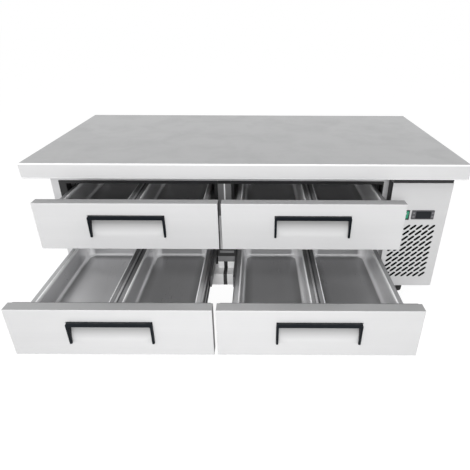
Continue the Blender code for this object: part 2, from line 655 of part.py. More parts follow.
def build_fan_unit(name, fan_name, low, size, fins):
    """Coil in a sheet housing that is open behind, with a fan behind a round hole in its face."""
    low = Vector(low)
    high = low + Vector(size)
    middle_x, middle_z = (low.x + high.x) / 2, (low.z + high.z) / 2
    unit = add_box(name, low, high, "coil_aluminium")
    sheet = Vector((UNIT_SHEET, 0, UNIT_SHEET))
    inside = add_box(name + "_inside", low + sheet + Vector((0, UNIT_SHEET, 0)),
                     high - sheet + Vector((0, CUT_OVERRUN, 0)))
    hole = add_cylinder(name + "_fan_hole", FAN_RADIUS + FAN_HOLE_CLEARANCE, 2 * CUT_OVERRUN,
                        (middle_x, low.y, middle_z), "Y")
    cut(unit, inside, hole)
    fan_y = low.y + FAN_SETBACK + FAN_HUB_DEPTH / 2
    motor_y = fan_y + FAN_HUB_DEPTH / 2 + SEAT_GAP
    fin_y = low.y + FIN_START
    strut = add_box(name + "_strut", (middle_x - FAN_STRUT / 2, fin_y - UNIT_SHEET, low.z + UNIT_SHEET / 2),
                    (middle_x + FAN_STRUT / 2, fin_y + UNIT_SHEET, high.z - UNIT_SHEET / 2))
    motor = add_cylinder(name + "_motor", FAN_MOTOR_RADIUS, fin_y - motor_y,
                         (middle_x, (fin_y + motor_y) / 2, middle_z), "Y", segments=ROUND_SEGMENTS // 2)
    spacing = size[0] / (fins + 1)

    def build(shape):
        depth = high.y - fin_y
        height = size[2] - UNIT_SHEET
        for index in range(fins):
            place = (low.x + (index + 1) * spacing, fin_y + depth / 2, middle_z)
            bmesh.ops.create_cube(shape, size=1.0, matrix=Matrix.Translation(place)
                                  @ Matrix.Diagonal((FIN_SHEET, depth, height, 1.0)))

    fin_row = add_object(name + "_fins", mesh_from(build, name + "_fins"), (0, 0, 0))
    join(unit, strut, motor, fin_row)
    build_fan(fan_name, (middle_x, fan_y, middle_z))


def build_refrigeration():
    machine_middle = (MACHINE_X + RIGHT_X) / 2
    build_fan_unit("condenser", "condenser_fan",
                   (machine_middle - CONDENSER_WIDTH / 2, FACE_Y + CONDENSER_SETBACK, FLOOR_Z + SEAT_GAP),
                   (CONDENSER_WIDTH, CONDENSER_DEPTH, CONDENSER_HEIGHT), CONDENSER_FINS)
    bay_middle = (RIGHT_OPENING_X + MULLION_X + MULLION_WIDTH / 2) / 2
    build_fan_unit("evaporator", "evaporator_fan",
                   (bay_middle - EVAPORATOR_WIDTH / 2, EVAPORATOR_Y, FLOOR_Z + EVAPORATOR_LIFT),
                   (EVAPORATOR_WIDTH, EVAPORATOR_DEPTH, EVAPORATOR_HEIGHT), EVAPORATOR_FINS)
    build_compressor(machine_middle, BACK_Y - COMPRESSOR_FROM_BACK)


def build_compressor(x, y):
    """Hermetic can on a base plate with four feet."""
    floor_z = FLOOR_Z + SEAT_GAP
    base_z = floor_z + COMPRESSOR_FOOT_HEIGHT
    plate_top = base_z + COMPRESSOR_BASE_THICKNESS
    profile = [(radius * COMPRESSOR_RADIUS, height * COMPRESSOR_HEIGHT)
               for radius, height in COMPRESSOR_CAN_SHARES]
    can = add_turned("compressor", profile, (x, y, plate_top - COMPRESSOR_BASE_THICKNESS / 2), "black_steel")
    half_base = Vector((COMPRESSOR_BASE_WIDTH / 2, COMPRESSOR_BASE_LENGTH / 2))
    plate = add_box("compressor_base", (x - half_base.x, y - half_base.y, base_z),
                    (x + half_base.x, y + half_base.y, plate_top))
    feet = []
    for side in (-1, 1):
        for end in (-1, 1):
            foot_x = x + side * (half_base.x - COMPRESSOR_FOOT_INSET)
            foot_y = y + end * (half_base.y - COMPRESSOR_FOOT_INSET)
            height = COMPRESSOR_FOOT_HEIGHT + COMPRESSOR_BASE_THICKNESS / 2
            feet.append(add_cylinder(f"compressor_foot_{side}_{end}", COMPRESSOR_FOOT_RADIUS, height,
                                     (foot_x, foot_y, floor_z + height / 2), segments=ROUND_SEGMENTS // 2))
    join(can, plate, *feet)


def add_turned(name, profile, place, material, parent=None, turn=(0, 0, 0), closed=False):
    """A profile of (radius, height) points turned round the object's own Z axis."""
    mesh = bpy.data.meshes.new(name)
    count = len(profile)
    edges = [(index, index + 1) for index in range(count - 1)]
    if closed:
        edges.append((count - 1, 0))
    mesh.from_pydata([(radius, 0, height) for radius, height in profile], edges, [])
    thing = add_object(name, mesh, place, material, parent, turn)
    screw = thing.modifiers.new("turned", "SCREW")
    screw.axis = "Z"
    screw.steps = ROUND_SEGMENTS
    screw.render_steps = ROUND_SEGMENTS
    screw.use_merge_vertices = True
    screw.merge_threshold = SEAT_GAP / 10
    screw.use_smooth_shade = True
    return thing


def build_rack(name, sides, wall_left, wall_right):
    """Upright rack that carries the fixed slides of both rows, on one or both of its sides.

    sides lists (opening edge, direction from the edge into the opening).
    """
    start_y = FRAME_BACK_Y + SEAT_GAP
    end_y = start_y + DRAWER_LENGTH
    low_z, high_z = FLOOR_Z + SEAT_GAP, BODY_TOP_Z - SEAT_GAP
    posts = []
    for index, post_y in enumerate((start_y + RACK_POST_INSET, end_y - RACK_POST_INSET - RACK_POST_DEPTH)):
        posts.append(add_box(f"{name}_post_{index}", (wall_left, post_y, low_z),
                             (wall_right, post_y + RACK_POST_DEPTH, high_z)))
    bars = []
    for edge, inward in sides:
        inner_x = edge + inward * (SLIDE_TO_OPENING - SLIDE_GAP)
        outer_x = inner_x - inward * SLIDE_THICKNESS
        for level, front_z in (("upper", UPPER_FRONT_Z), ("lower", LOWER_FRONT_Z)):
            low = (min(inner_x, outer_x), start_y, front_z + SLIDE_LOW_Z)
            high = (max(inner_x, outer_x), end_y, front_z + SLIDE_LOW_Z + SLIDE_HEIGHT)
            label = "left" if inward > 0 else "right"
            bars.append(add_box(f"{name}_{level}_{label}_bar", low, high))
    rack, *others = bars
    rack.name = name
    rack.data.materials.append(MATERIALS["zinc_slide"])
    join(rack, *posts, *others)


def build_racks():
    seat = SLIDE_THICKNESS / 4
    post_edge = SLIDE_TO_OPENING - SLIDE_GAP - SLIDE_THICKNESS + seat
    build_rack("left_slide_rack", [(LEFT_OPENING_X, 1)], LEFT_WALL_X + SEAT_GAP, LEFT_OPENING_X + post_edge)
    build_rack("right_slide_rack", [(RIGHT_OPENING_X, -1)], RIGHT_OPENING_X - post_edge,
               BULKHEAD_X - SEAT_GAP)
    mullion_left = MULLION_X - MULLION_WIDTH / 2
    mullion_right = MULLION_X + MULLION_WIDTH / 2
    build_rack("centre_slide_rack", [(mullion_left, -1), (mullion_right, 1)], mullion_left - post_edge,
               mullion_right + post_edge)


def scoop_points(setback=0.0):
    """The scoop's section, (y, z), from its flush foot to its deep top, moved back by setback."""
    points = []
    for step in range(GRIP_STEPS + 1):
        share = step / GRIP_STEPS
        points.append((GRIP_DEPTH * (1 - math.cos(share * math.pi / 2)) + setback, GRIP_HEIGHT * share))
    return points


def build_front(name, empty, foot):
    """Hollow drawer front with its grip scoop; its inner port is behind the drawer frame."""
    half = FRONT_WIDTH / 2
    front = add_box(name, (-half, 0, 0), (half, FRONT_THICKNESS, FRONT_HEIGHT), "brushed_stainless",
                    empty, bevel=FRONT_EDGE_RADIUS)
    cavity = add_box(name + "_cavity", (-half + SKIN, SKIN, SKIN),
                     (half - SKIN, FRONT_THICKNESS - SKIN, FRONT_HEIGHT - SKIN), parent=empty)
    liner = [(-CUT_OVERRUN, -SKIN), (SKIN, -SKIN)] + scoop_points(SKIN)
    liner += [(GRIP_DEPTH + SKIN, GRIP_HEIGHT + SKIN), (-CUT_OVERRUN, GRIP_HEIGHT + SKIN)]
    pressing = add_outlines(name + "_pressing", [liner], GRIP_WIDTH + 2 * SEAT_GAP + 2 * SKIN, "YZ", foot,
                            parent=empty)
    cut(cavity, pressing)
    scoop = [(-CUT_OVERRUN, 0)] + scoop_points() + [(-CUT_OVERRUN, GRIP_HEIGHT)]
    hole = add_outlines(name + "_scoop", [scoop], GRIP_WIDTH + 2 * SEAT_GAP, "YZ", foot, parent=empty)
    port_z = FRONT_HEIGHT / 2
    half_port = FILL_PORT / 2
    port = add_box(name + "_port", (half / 2 - half_port, FRONT_THICKNESS - half_port, port_z - half_port),
                   (half / 2 + half_port, FRONT_THICKNESS + half_port, port_z + half_port), parent=empty)
    cut(front, cavity, hole, port)


def build_handle(name, empty, foot):
    """Dark lip over the top of the scoop, with a tapering leg down each side of it."""
    top = GRIP_HEIGHT - SEAT_GAP
    curve = [(y, min(z, top)) for y, z in scoop_points(-2 * SEAT_GAP)]
    leg = [(-GRIP_PROUD, top), (-GRIP_PROUD, top - GRIP_LIP_HEIGHT), (-GRIP_LEG_PROUD, 0)] + curve
    reach = GRIP_WIDTH / 2
    legs = []
    for index, side in enumerate((-1, 1)):
        middle = Vector(foot) + Vector((side * (reach - GRIP_LEG_WIDTH / 2), 0, 0))
        legs.append(add_outlines(f"{name}_leg_{index}", [leg], GRIP_LEG_WIDTH, "YZ", middle,
                                 parent=empty))
    low = Vector(foot) + Vector((-reach, -GRIP_PROUD, top - GRIP_LIP_HEIGHT))
    high = Vector(foot) + Vector((reach, GRIP_LIP_THICKNESS, top))
    lip = add_box(name, low, high, "black_plastic", empty)
    join(lip, *legs)


def build_gasket(name, empty):
    half = FRONT_WIDTH / 2 - GASKET_INSET
    low_y = FRONT_THICKNESS + SEAT_GAP
    high_y = low_y + GASKET_THICKNESS - SEAT_GAP
    gasket = add_box(name, (-half, low_y, GASKET_INSET), (half, high_y, FRONT_HEIGHT - GASKET_INSET),
                     "grey_gasket", empty)
    inner = GASKET_INSET + GASKET_WIDTH
    hole = add_box(name + "_inside", (-half + GASKET_WIDTH, low_y - CUT_OVERRUN, inner),
                   (half - GASKET_WIDTH, high_y + CUT_OVERRUN, FRONT_HEIGHT - inner), parent=empty)
    cut(gasket, hole)


def build_drawer_frame(name, empty, middle_x):
    """Sheet frame that the pans hang in, with its slide bars on both sides."""
    low_y = FRONT_THICKNESS + SEAT_GAP
    high_y = low_y + DRAWER_LENGTH
    plate_in = SIDE_PLATE_X - FRAME_SHEET
    frame = add_box(name, (middle_x - SIDE_PLATE_X, low_y, DRAWER_BASE_Z),
                    (middle_x + SIDE_PLATE_X, high_y, DRAWER_TOP_Z), "drawer_stainless", empty)
    core = add_box(name + "_core", (middle_x - plate_in, low_y + FRAME_SHEET, DRAWER_BASE_Z - CUT_OVERRUN),
                   (middle_x + plate_in, high_y - FRAME_SHEET, DRAWER_TOP_Z - FRAME_SHEET), parent=empty)
    cells = []
    for index, side in enumerate((-1, 1)):
        near, far = middle_x + side * GUTTER_HALF, middle_x + side * CELL_EDGE_X
        cells.append(add_box(f"{name}_cell_{index}", (min(near, far), CELL_LOW_Y, DRAWER_BASE_Z),
                             (max(near, far), CELL_HIGH_Y, DRAWER_TOP_Z + CUT_OVERRUN), parent=empty))
    cut(frame, core, *cells)
    half_sheet = FRAME_SHEET / 2
    web = add_box(name + "_web",
                  (middle_x - half_sheet, low_y + half_sheet, DRAWER_TOP_Z - PAN_GUTTER * 2),
                  (middle_x + half_sheet, high_y - half_sheet, DRAWER_TOP_Z - half_sheet), parent=empty)
    bars = []
    bar_y = FRONT_THICKNESS + GASKET_THICKNESS + GASKET_CLEARANCE
    for index, side in enumerate((-1, 1)):
        near, far = middle_x + side * (SIDE_PLATE_X - half_sheet), middle_x + side * SLIDE_INNER_X
        bars.append(add_box(f"{name}_bar_{index}", (min(near, far), bar_y, SLIDE_LOW_Z),
                            (max(near, far), bar_y + SLIDE_LENGTH, SLIDE_LOW_Z + SLIDE_HEIGHT), parent=empty))
    join(frame, web, *bars)


def rounded_ring(half_x, half_y, radius, z):
    """Points round a rectangle with round corners, the same number for every size."""
    points = []
    for corner, (sign_x, sign_y) in enumerate(((1, 1), (-1, 1), (-1, -1), (1, -1))):
        for step in range(PAN_CORNER_STEPS + 1):
            angle = (corner + step / PAN_CORNER_STEPS) * math.pi / 2
            points.append((sign_x * (half_x - radius) + radius * math.cos(angle),
                           sign_y * (half_y - radius) + radius * math.sin(angle), z))
    return points


def build_pan(name, empty, middle_x, cell_width, low_y, high_y):
    """Deep-drawn pan hung by its rim, its inner surface given thickness outwards."""
    rim_z = DRAWER_TOP_Z + SEAT_GAP + PAN_SHEET
    half_x = cell_width / 2 - PAN_CLEARANCE - PAN_SHEET
    half_y = (high_y - low_y) / 2 - PAN_CLEARANCE - PAN_SHEET
    rim = PAN_RIM + PAN_SHEET
    foot = PAN_FOOT_RADIUS
    bend = foot * (1 - math.sin(math.pi / 4))
    sections = (
        (rim, 0, PAN_CORNER_RADIUS + rim),
        (0, 0, PAN_CORNER_RADIUS),
        (-PAN_DRAFT, foot - PAN_DEPTH, PAN_CORNER_RADIUS - PAN_DRAFT),
        (-PAN_DRAFT - bend, bend - PAN_DEPTH, PAN_CORNER_RADIUS - PAN_DRAFT - bend),
        (-PAN_DRAFT - foot, -PAN_DEPTH, PAN_CORNER_RADIUS - PAN_DRAFT - foot))

    def build(shape):
        rings = [[shape.verts.new(point) for point in rounded_ring(half_x + grow, half_y + grow, radius, z)]
                 for grow, z, radius in sections]
        count = len(rings[0])
        for upper, lower in zip(rings, rings[1:]):
            for index in range(count):
                after = (index + 1) % count
                shape.faces.new((upper[index], upper[after], lower[after], lower[index]))
        shape.faces.new(rings[-1])

    pan = add_object(name, mesh_from(build, name), (middle_x, (low_y + high_y) / 2, rim_z),
                     "pan_stainless", empty)
    shade_round(pan)
    wall = pan.modifiers.new("sheet", "SOLIDIFY")
    wall.thickness = PAN_SHEET
    wall.offset = -1
    wall.use_even_offset = True


def build_drawer(level, side, front_z, pull):
    """One drawer, standing open by pull, and the middle slides that follow it at half its travel."""
    prefix = f"{level}_{side}"
    inward = 1 if side == "left" else -1
    outer_edge = FRONTS_LEFT_X if side == "left" else FRONTS_RIGHT_X
    front_middle = outer_edge + inward * FRONT_WIDTH / 2
    opening_middle = outer_edge + inward * (FRONT_LAP + OPENING_WIDTH / 2)
    frame_x = opening_middle - front_middle
    empty = add_empty(prefix + "_drawer_origin", (front_middle, FACE_Y - pull, front_z))
    foot = (0, 0, GRIP_LIFT)
    build_front(prefix + "_front", empty, foot)
    build_handle(prefix + "_handle", empty, foot)
    build_gasket(prefix + "_gasket", empty)
    build_drawer_frame(prefix + "_drawer_frame", empty, frame_x)
    cell_width = CELL_EDGE_X - GUTTER_HALF
    cell_middle = (GUTTER_HALF + CELL_EDGE_X) / 2
    for label, sign in (("left", -1), ("right", 1)):
        build_pan(f"{prefix}_{label}_pan", empty, frame_x + sign * cell_middle, cell_width, CELL_LOW_Y,
                  CELL_HIGH_Y)
    middle_empty = add_empty(prefix + "_middle_slide_origin",
                             (opening_middle, FRAME_Y - pull / 2, front_z))
    for label, sign in (("left", -1), ("right", 1)):
        near, far = sign * (SLIDE_MIDDLE_X - SLIDE_THICKNESS), sign * SLIDE_MIDDLE_X
        add_box(f"{prefix}_{label}_middle_slide", (min(near, far), 0, SLIDE_LOW_Z),
                (max(near, far), SLIDE_LENGTH, SLIDE_LOW_Z + SLIDE_HEIGHT), "zinc_slide", middle_empty)


def build_caster(name, x, y):
    """Swivel fork with its axle, and the wheel that trails behind the swivel axis."""
    top_z = CASTER_HEIGHT - SEAT_GAP
    swivel = add_empty(name + "_swivel_axis", (x, y, 0))
    fork = add_cylinder(name + "_fork", SWIVEL_RADIUS, SWIVEL_HEIGHT, (0, 0, top_z - SWIVEL_HEIGHT / 2), "Z",
                        "black_steel", swivel)
    inner = WHEEL_WIDTH / 2 + WHEEL_HUB_PROUD + FORK_GAP
    outer = inner + FORK_SHEET
    crown_z = top_z - SWIVEL_HEIGHT
    crown = add_box(name + "_crown", (-outer, -FORK_TOP_LENGTH / 2, crown_z - FORK_SHEET),
                    (outer, FORK_TOP_LENGTH / 2, crown_z + FORK_SHEET / 2), parent=swivel)
    half_leg = FORK_LEG_WIDTH / 2
    foot_z = WHEEL_RADIUS - half_leg
    leg_outline = [(-FORK_TOP_LENGTH / 2, crown_z), (FORK_TRAIL - half_leg, WHEEL_RADIUS),
                   (FORK_TRAIL - half_leg / 2, foot_z), (FORK_TRAIL + half_leg / 2, foot_z),
                   (FORK_TRAIL + half_leg, WHEEL_RADIUS), (FORK_TOP_LENGTH / 2, crown_z)]
    legs = [add_outlines(f"{name}_leg_{index}", [leg_outline], FORK_SHEET, "YZ",
                         (side * (inner + FORK_SHEET / 2), 0, 0), parent=swivel)
            for index, side in enumerate((-1, 1))]
    axle = add_cylinder(name + "_axle", AXLE_RADIUS, 2 * (outer + AXLE_HEAD),
                        (0, FORK_TRAIL, WHEEL_RADIUS), "X", parent=swivel, segments=ROUND_SEGMENTS // 2)
    join(fork, crown, *legs, axle)
    bore = AXLE_RADIUS + AXLE_CLEARANCE
    half, hub_half = WHEEL_WIDTH / 2, WHEEL_WIDTH / 2 + WHEEL_HUB_PROUD
    shoulder = WHEEL_RADIUS - WHEEL_SHOULDER
    side = [(bore, hub_half), (WHEEL_HUB_RADIUS, hub_half), (WHEEL_HUB_RADIUS, half), (shoulder, half),
            (WHEEL_RADIUS, half - WHEEL_SHOULDER)]
    profile = side + [(radius, -height) for radius, height in reversed(side)]
    add_turned(name + "_wheel", profile, (0, FORK_TRAIL, WHEEL_RADIUS), "black_rubber", swivel,
               (0, math.pi / 2, 0), closed=True)


def build_casters():
    left, right = LEFT_X + CASTER_INSET_X, RIGHT_X - CASTER_INSET_X
    front, back = FACE_Y + CASTER_INSET_FRONT, BACK_Y - CASTER_INSET_BACK
    for name, x, y in (("front_left_caster", left, front), ("front_right_caster", right, front),
                       ("back_left_caster", left, back), ("back_right_caster", right, back)):
        build_caster(name, x, y)


def build_all():
    clear_scene()
    add_materials()
    build_worktop()
    build_cabinet_walls()
    build_floor_panel()
    build_front_frame()
    build_louvre_panel()
    build_machine_cover()
    build_cord_gland()
    build_controller()
    build_switch()
    build_refrigeration()
    build_racks()
    for level, front_z, pull in (("upper", UPPER_FRONT_Z, UPPER_PULL), ("lower", LOWER_FRONT_Z, LOWER_PULL)):
        for side in ("left", "right"):
            build_drawer(level, side, front_z, pull)
    build_casters()


build_all()
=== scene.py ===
"""Looks of the refrigerated chef base: its finishes, and finer pieces for what shows most.

Metres, +Z up, the front faces -Y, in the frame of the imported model.
"""

import math

import bmesh
import bpy
from mathutils import Matrix, Vector
from mathutils.bvhtree import BVHTree


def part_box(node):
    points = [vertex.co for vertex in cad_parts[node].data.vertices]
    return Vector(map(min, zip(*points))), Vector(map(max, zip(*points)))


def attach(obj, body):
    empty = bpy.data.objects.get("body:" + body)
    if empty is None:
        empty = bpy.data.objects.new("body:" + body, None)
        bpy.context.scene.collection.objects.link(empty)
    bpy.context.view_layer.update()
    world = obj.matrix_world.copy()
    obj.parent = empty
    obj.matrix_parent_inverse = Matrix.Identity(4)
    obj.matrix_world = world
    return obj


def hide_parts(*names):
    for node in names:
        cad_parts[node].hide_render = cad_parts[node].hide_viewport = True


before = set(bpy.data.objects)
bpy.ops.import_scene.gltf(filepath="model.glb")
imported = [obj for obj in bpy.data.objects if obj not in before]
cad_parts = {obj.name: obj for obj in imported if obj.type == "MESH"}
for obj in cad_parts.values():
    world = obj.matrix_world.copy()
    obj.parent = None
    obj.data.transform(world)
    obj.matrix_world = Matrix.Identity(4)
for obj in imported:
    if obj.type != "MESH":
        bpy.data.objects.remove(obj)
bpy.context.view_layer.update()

# The photograph: its side and the lens's middle and length, in pixels
PHOTO_SIDE = 470
LENS_PIXELS = 417.3
LENS_MIDDLE_U = 257.7
SENSOR_WIDTH = 36.0
CAMERA_DOWN = math.radians(28.02)
CAMERA_ROLL = math.radians(0.22)
CAMERA_FROM_EDGE = Vector((0.0490, -1.4889, 0.4952))

# The studio
WHITE = (1.0, 1.0, 1.0, 1.0)
WORLD_DIFFUSE = 0.50
FLOOR_REACH = 30.0
FLOOR_COLOUR = (0.40, 0.40, 0.40, 1.0)
FLOOR_SHADOW_SHARE = 0.30
FLOOR_GLOW = 0.94

# Each softbox: its place, what it faces, its width and depth, its watts, and whether steel mirrors it
SOFTBOXES = {
    "front_softbox": ((-0.2, -2.2, 3.2), (0.0, 0.0, 0.4), (2.4, 1.6), 30.0, True),
    "low_front_softbox": ((-0.05, -2.6, 1.45), (0.0, -0.2, 0.35), (0.5, 0.7), 36.0, False),
    "left_softbox": ((-3.4, -1.0, 2.4), (0.0, 0.0, 0.4), (1.6, 2.0), 22.0, True)}

# Sheet and edges that the finer pieces share
SHEET = 0.0009
EDGE_STEPS = 5
CORNER_STEPS = 6
FEW_STEPS = 3
QUARTER_TURNS = [math.pi / 2 * step / EDGE_STEPS for step in range(EDGE_STEPS + 1)]
SEAT = 0.0003
SMOOTH_ANGLE = math.radians(32)
MERGE_WITHIN = 0.00001
BLOCK_EDGE = 0.0006
BLOCK_EDGE_STEPS = 2
FACING_SHARE = 0.9
BACK_FACING_SHARE = 0.5
X_AXIS = Vector((1, 0, 0))

# Worktop
WORKTOP_EDGE = 0.0045
WORKTOP_FOOT_EDGE = 0.0035
WORKTOP_CORNER = 0.003
WORKTOP_LEAST_CORNER = 0.0004
WORKTOP_PLAIN_SHARE = 1.5
WORKTOP_HEM = 0.018
WORKTOP_HEM_STEP = 0.0015

# Drawer fronts, scoops and handles, as the part has them
FRONT_EDGE = 0.0016
FRONT_HEM = 0.016
GRIP_FOOT = 0.0495
GRIP_TOP = 0.1375
GRIP_HALF = 0.138
GRIP_DEEP = 0.028
GRIP_ROWS = 18
GRIP_COLUMN_INSETS = (0.0, 0.008, 0.011, 0.016, 0.024, 0.040)
GRIP_SIDE_SHADE_REACH = 0.009
GRIP_SIDE_SHADE_AT_FOOT = 0.4
GRIP_SHADE_FROM_SHARE = 0.18
GRIP_SHADE_OVER_SHARE = 0.45
LIP_HEIGHT = 0.015
LIP_PROUD = 0.010
LIP_BACK = 0.004
LEG_WIDTH = 0.008
LEG_FOOT_PROUD = 0.008
LEG_FOOT_ROUND = 0.004
LEG_FOOT_ANGLES = (30, 50, 70, 90)
LEG_FULL_SHARE = 0.83
LIP_OUTER_CORNER = 0.010
LIP_INNER_CORNER = 0.003
HANDLE_EDGE = 0.0022
HANDLE_EDGE_MOST_SHARE = 0.45
HANDLE_STEPS = 10

# Pans
PAN_RIM = 0.0180
PAN_RIM_SKIRT = 0.0015
PAN_RIM_ROLL = 0.0050
PAN_RIM_EDGE = 0.0012
PAN_OUTER_CORNER = 0.012
PAN_INNER_CORNER = 0.036
PAN_DRAFT = 0.0035
PAN_FOOT = 0.014
PAN_FLOOR_DROP = 0.0820
PAN_FLOOR_SHADE_REACH = 0.030
PAN_LEAST_CORNER = 0.004
PAN_WALL_SHARES = (0.15, 0.5, 0.85)
BACK_SHINE_REACH = 0.060

# Gaskets
GASKET_WIDTH = 0.014
GASKET_CORNER = 0.006
GASKET_LEAST_CORNER = 0.0006
GASKET_SECTION_SHARES = ((0.0, 0.0), (0.0, 0.28), (0.16, 0.36), (0.02, 0.50), (0.02, 0.80), (0.12, 1.0),
                         (0.86, 1.0), (0.98, 0.86), (0.98, 0.62), (0.82, 0.48), (1.0, 0.34), (1.0, 0.0))

# Drawer frames: sheet, flanges and slide bars, as the part has them
FRAME_SHEET = 0.002
SIDE_PLATE_X = 0.2881
SLIDE_INNER_X = 0.2941
CELL_EDGE_X = 0.2731
CELL_FRONT_INSET = 0.015
CELL_BACK_INSET = 0.045
GUTTER_HALF = 0.019
GUTTER_WEB_DROP = 0.024
BAR_FOOT = 0.034
BAR_HEIGHT = 0.045
BAR_FRONT_INSET = 0.0117
BAR_BACK_INSET = 0.0033
BAR_LIP = 0.006
BAR_WEB = 0.002
RIB_LEFT_X = -0.0066
RIB_RIGHT_X = 0.0010
RIB_HEIGHT = 0.0012

# Openings and what is fitted round them, on the front frame's face
OPENING_WIDTH = 0.604
OPENING_HEIGHT = 0.143
OPENING_ABOVE_FRONT_FOOT = 0.020
OPENING_SIDE_INSET = 0.020
BREAKER_FLANGE = 0.013
BREAKER_LEFT_STILE_FLANGE = 0.029
BREAKER_RIGHT_STILE_FLANGE = 0.004
BREAKER_PROUD = 0.0009
BREAKER_LINING = 0.0006
BREAKER_CORNER = 0.001
BREAKER_CORNER_SHARE = 0.2
FRAME_DEPTH = 0.040
TRIM_PROUD = 0.0011
SEAM_WIDTH = 0.0055
SILL_HEIGHT = 0.056
MULLION_HALF = 0.0398
BRACKET_FOOT_Z = 0.188
BRACKET_BAR_TOP_Z = 0.2160
BRACKET_BOX_FOOT_Z = 0.2330
BRACKET_BOX_TOP_Z = 0.2450
BRACKET_TOP_Z = 0.2525
BRACKET_BOX_LEFT = 0.0305
BRACKET_BOX_RIGHT = 0.0325
STRIP_LEFT = 0.0140
STRIP_RIGHT = 0.0020
PANEL_SHEET = 0.002
FILTER_INSET = 0.012
SLOT_POINTS = 6
SLOT_SHADOW_LIP = 0.0018
FILTER_HEIGHT = 0.310

# Painted shade on the pans' rims, floor edges and back walls, and painted highlights on their bends and
# corners
RIM_GUTTER_SHADE = 0.8
RIM_SIDE_SHADE = 0.5
FOOT_SHADE = 0.3
FLOOR_EDGE_SHADE = 0.55
FLOOR_SHADE = 0.15
LEAST_BEND_SHINE = 0.1
LEFT_WALL_SHINE = 0.15
RIGHT_WALL_SHINE = 0.6
FOOT_LINE_SHARPNESS = 6
BACK_WALL_SHADE = 0.35
BRIGHTEST_BACK_WALL_SHADE = 0.0
BRIGHTEST_PAN = "lower_left_left_pan"
BRIGHTEST_FLOOR_SHINE = 0.35

# Controller, switch, screws and wheels
CONTROLLER_PROUD = 0.004
CONTROLLER_CORNER = 0.003
CONTROLLER_BODY_INSET = 0.008
WINDOW_LEFT_INSET = 0.017
WINDOW_RIGHT_INSET = 0.013
WINDOW_TOP_INSET = 0.004
KEY_RISE = 0.008
KEY_HALF = 0.0042
MARK_HALF = 0.0022
SWITCH_MARK_SHARE = 0.58
SWITCH_MARK_HEIGHT = 0.006
SCREW_INSET = 0.020
SCREW_SEGMENTS = 16
SCREW_PROFILE = ((0.0040, 0.0), (0.0040, 0.0002), (0.0030, 0.0004), (0.0012, 0.0004), (0.0010, 0.0001))
TURNED_SEGMENTS = 40
TYRE_HALF = ((0.0262, -0.0110), (0.0280, -0.0124), (0.0335, -0.0125), (0.0362, -0.0108), (0.0375, -0.0060))
HUB_HALF = ((0.0105, -0.0145), (0.0115, -0.0140), (0.0120, -0.0095), (0.0235, -0.0080), (0.0262, -0.0112))

DRAWERS = [(level, side) for level in ("upper", "lower") for side in ("left", "right")]

# Which way the brushing runs, and what lies over a finish
ACROSS = (0.012, 1.0, 1.0)
DEEP = (1.0, 0.012, 1.0)
UPRIGHT = (1.0, 1.0, 0.012)
STEEL_DUST = (0.42, 0.41, 0.39, 1.0)
PLASTIC_DUST = (0.40, 0.39, 0.37, 1.0)
PLASTIC_DUST_SHARE = 0.06
MARKED_SHARE = 0.75
STEEL_EDGE_SHARE = 0.25
EDGE_SHINE_SHARE = 1.35
LINE_DEPTH_SHARE = 1.5
ROUGHNESS_SWING = 0.10
ROUGHNESS_DROP = 0.08
PLASTIC_ROUGHNESS_SWING = 0.06
PALE_SHARE = 2.2
PALE_LIFT = 0.02
PLASTIC_TONE_SHARES = (0.8, 1.2)
PLASTIC_WEAR_WIDTH = 0.0012
PLASTIC_WORN_SHARE = 0.15
LINE_RELIEF = 0.0004
PEBBLE_RELIEF = 0.0003


# Effects that several finishes share

def group_tree(name, inputs, outputs):
    """An empty shader group with float or vector inputs, as (name, value), and outputs, as (name, kind)."""
    tree = bpy.data.node_groups.new(name, "ShaderNodeTree")
    for label, value in inputs:
        kind = "NodeSocketFloat" if isinstance(value, (int, float)) else "NodeSocketVector"
        socket = tree.interface.new_socket(name=label, in_out="INPUT", socket_type=kind)
        socket.default_value = value
    for label, kind in outputs:
        tree.interface.new_socket(name=label, in_out="OUTPUT", socket_type=kind)
    return tree, tree.nodes.new("NodeGroupInput"), tree.nodes.new("NodeGroupOutput")


def add_node(tree, kind, settings=(), **inputs):
    """A node with its settings, whose inputs take a number or another node's output."""
    node = tree.nodes.new(kind)
    for key, value in dict(settings).items():
        setattr(node, key, value)
    for label, value in inputs.items():
        index = int(label[1:]) if label.startswith("_") else label.replace("_", " ")
        connect(tree, node.inputs[index], value)
    return node


def connect(tree, socket, value):
    """Feed a socket from another node's output, or set it."""
    if isinstance(value, bpy.types.NodeSocket):
        tree.links.new(value, socket)
    else:
        socket.default_value = value


def math_node(tree, operation, first, second, clamp=False):
    """Two numbers put together."""
    settings = {"operation": operation, "use_clamp": clamp}
    return add_node(tree, "ShaderNodeMath", settings, _0=first, _1=second).outputs[0]


def own_place(tree):
    """Where the surface is in its piece's own space."""
    return tree.nodes.new("ShaderNodeTexCoord").outputs["Object"]


def own_normal(tree):
    """Which way the surface faces."""
    return tree.nodes.new("ShaderNodeNewGeometry").outputs["Normal"]


def spread(tree, value, given, wanted=(0.0, 1.0)):
    """A value moved from the range that is given to the range that is wanted."""
    node = add_node(tree, "ShaderNodeMapRange", {"clamp": True}, _0=value, _1=given[0], _2=given[1],
                    _3=wanted[0], _4=wanted[1])
    return node.outputs[0]


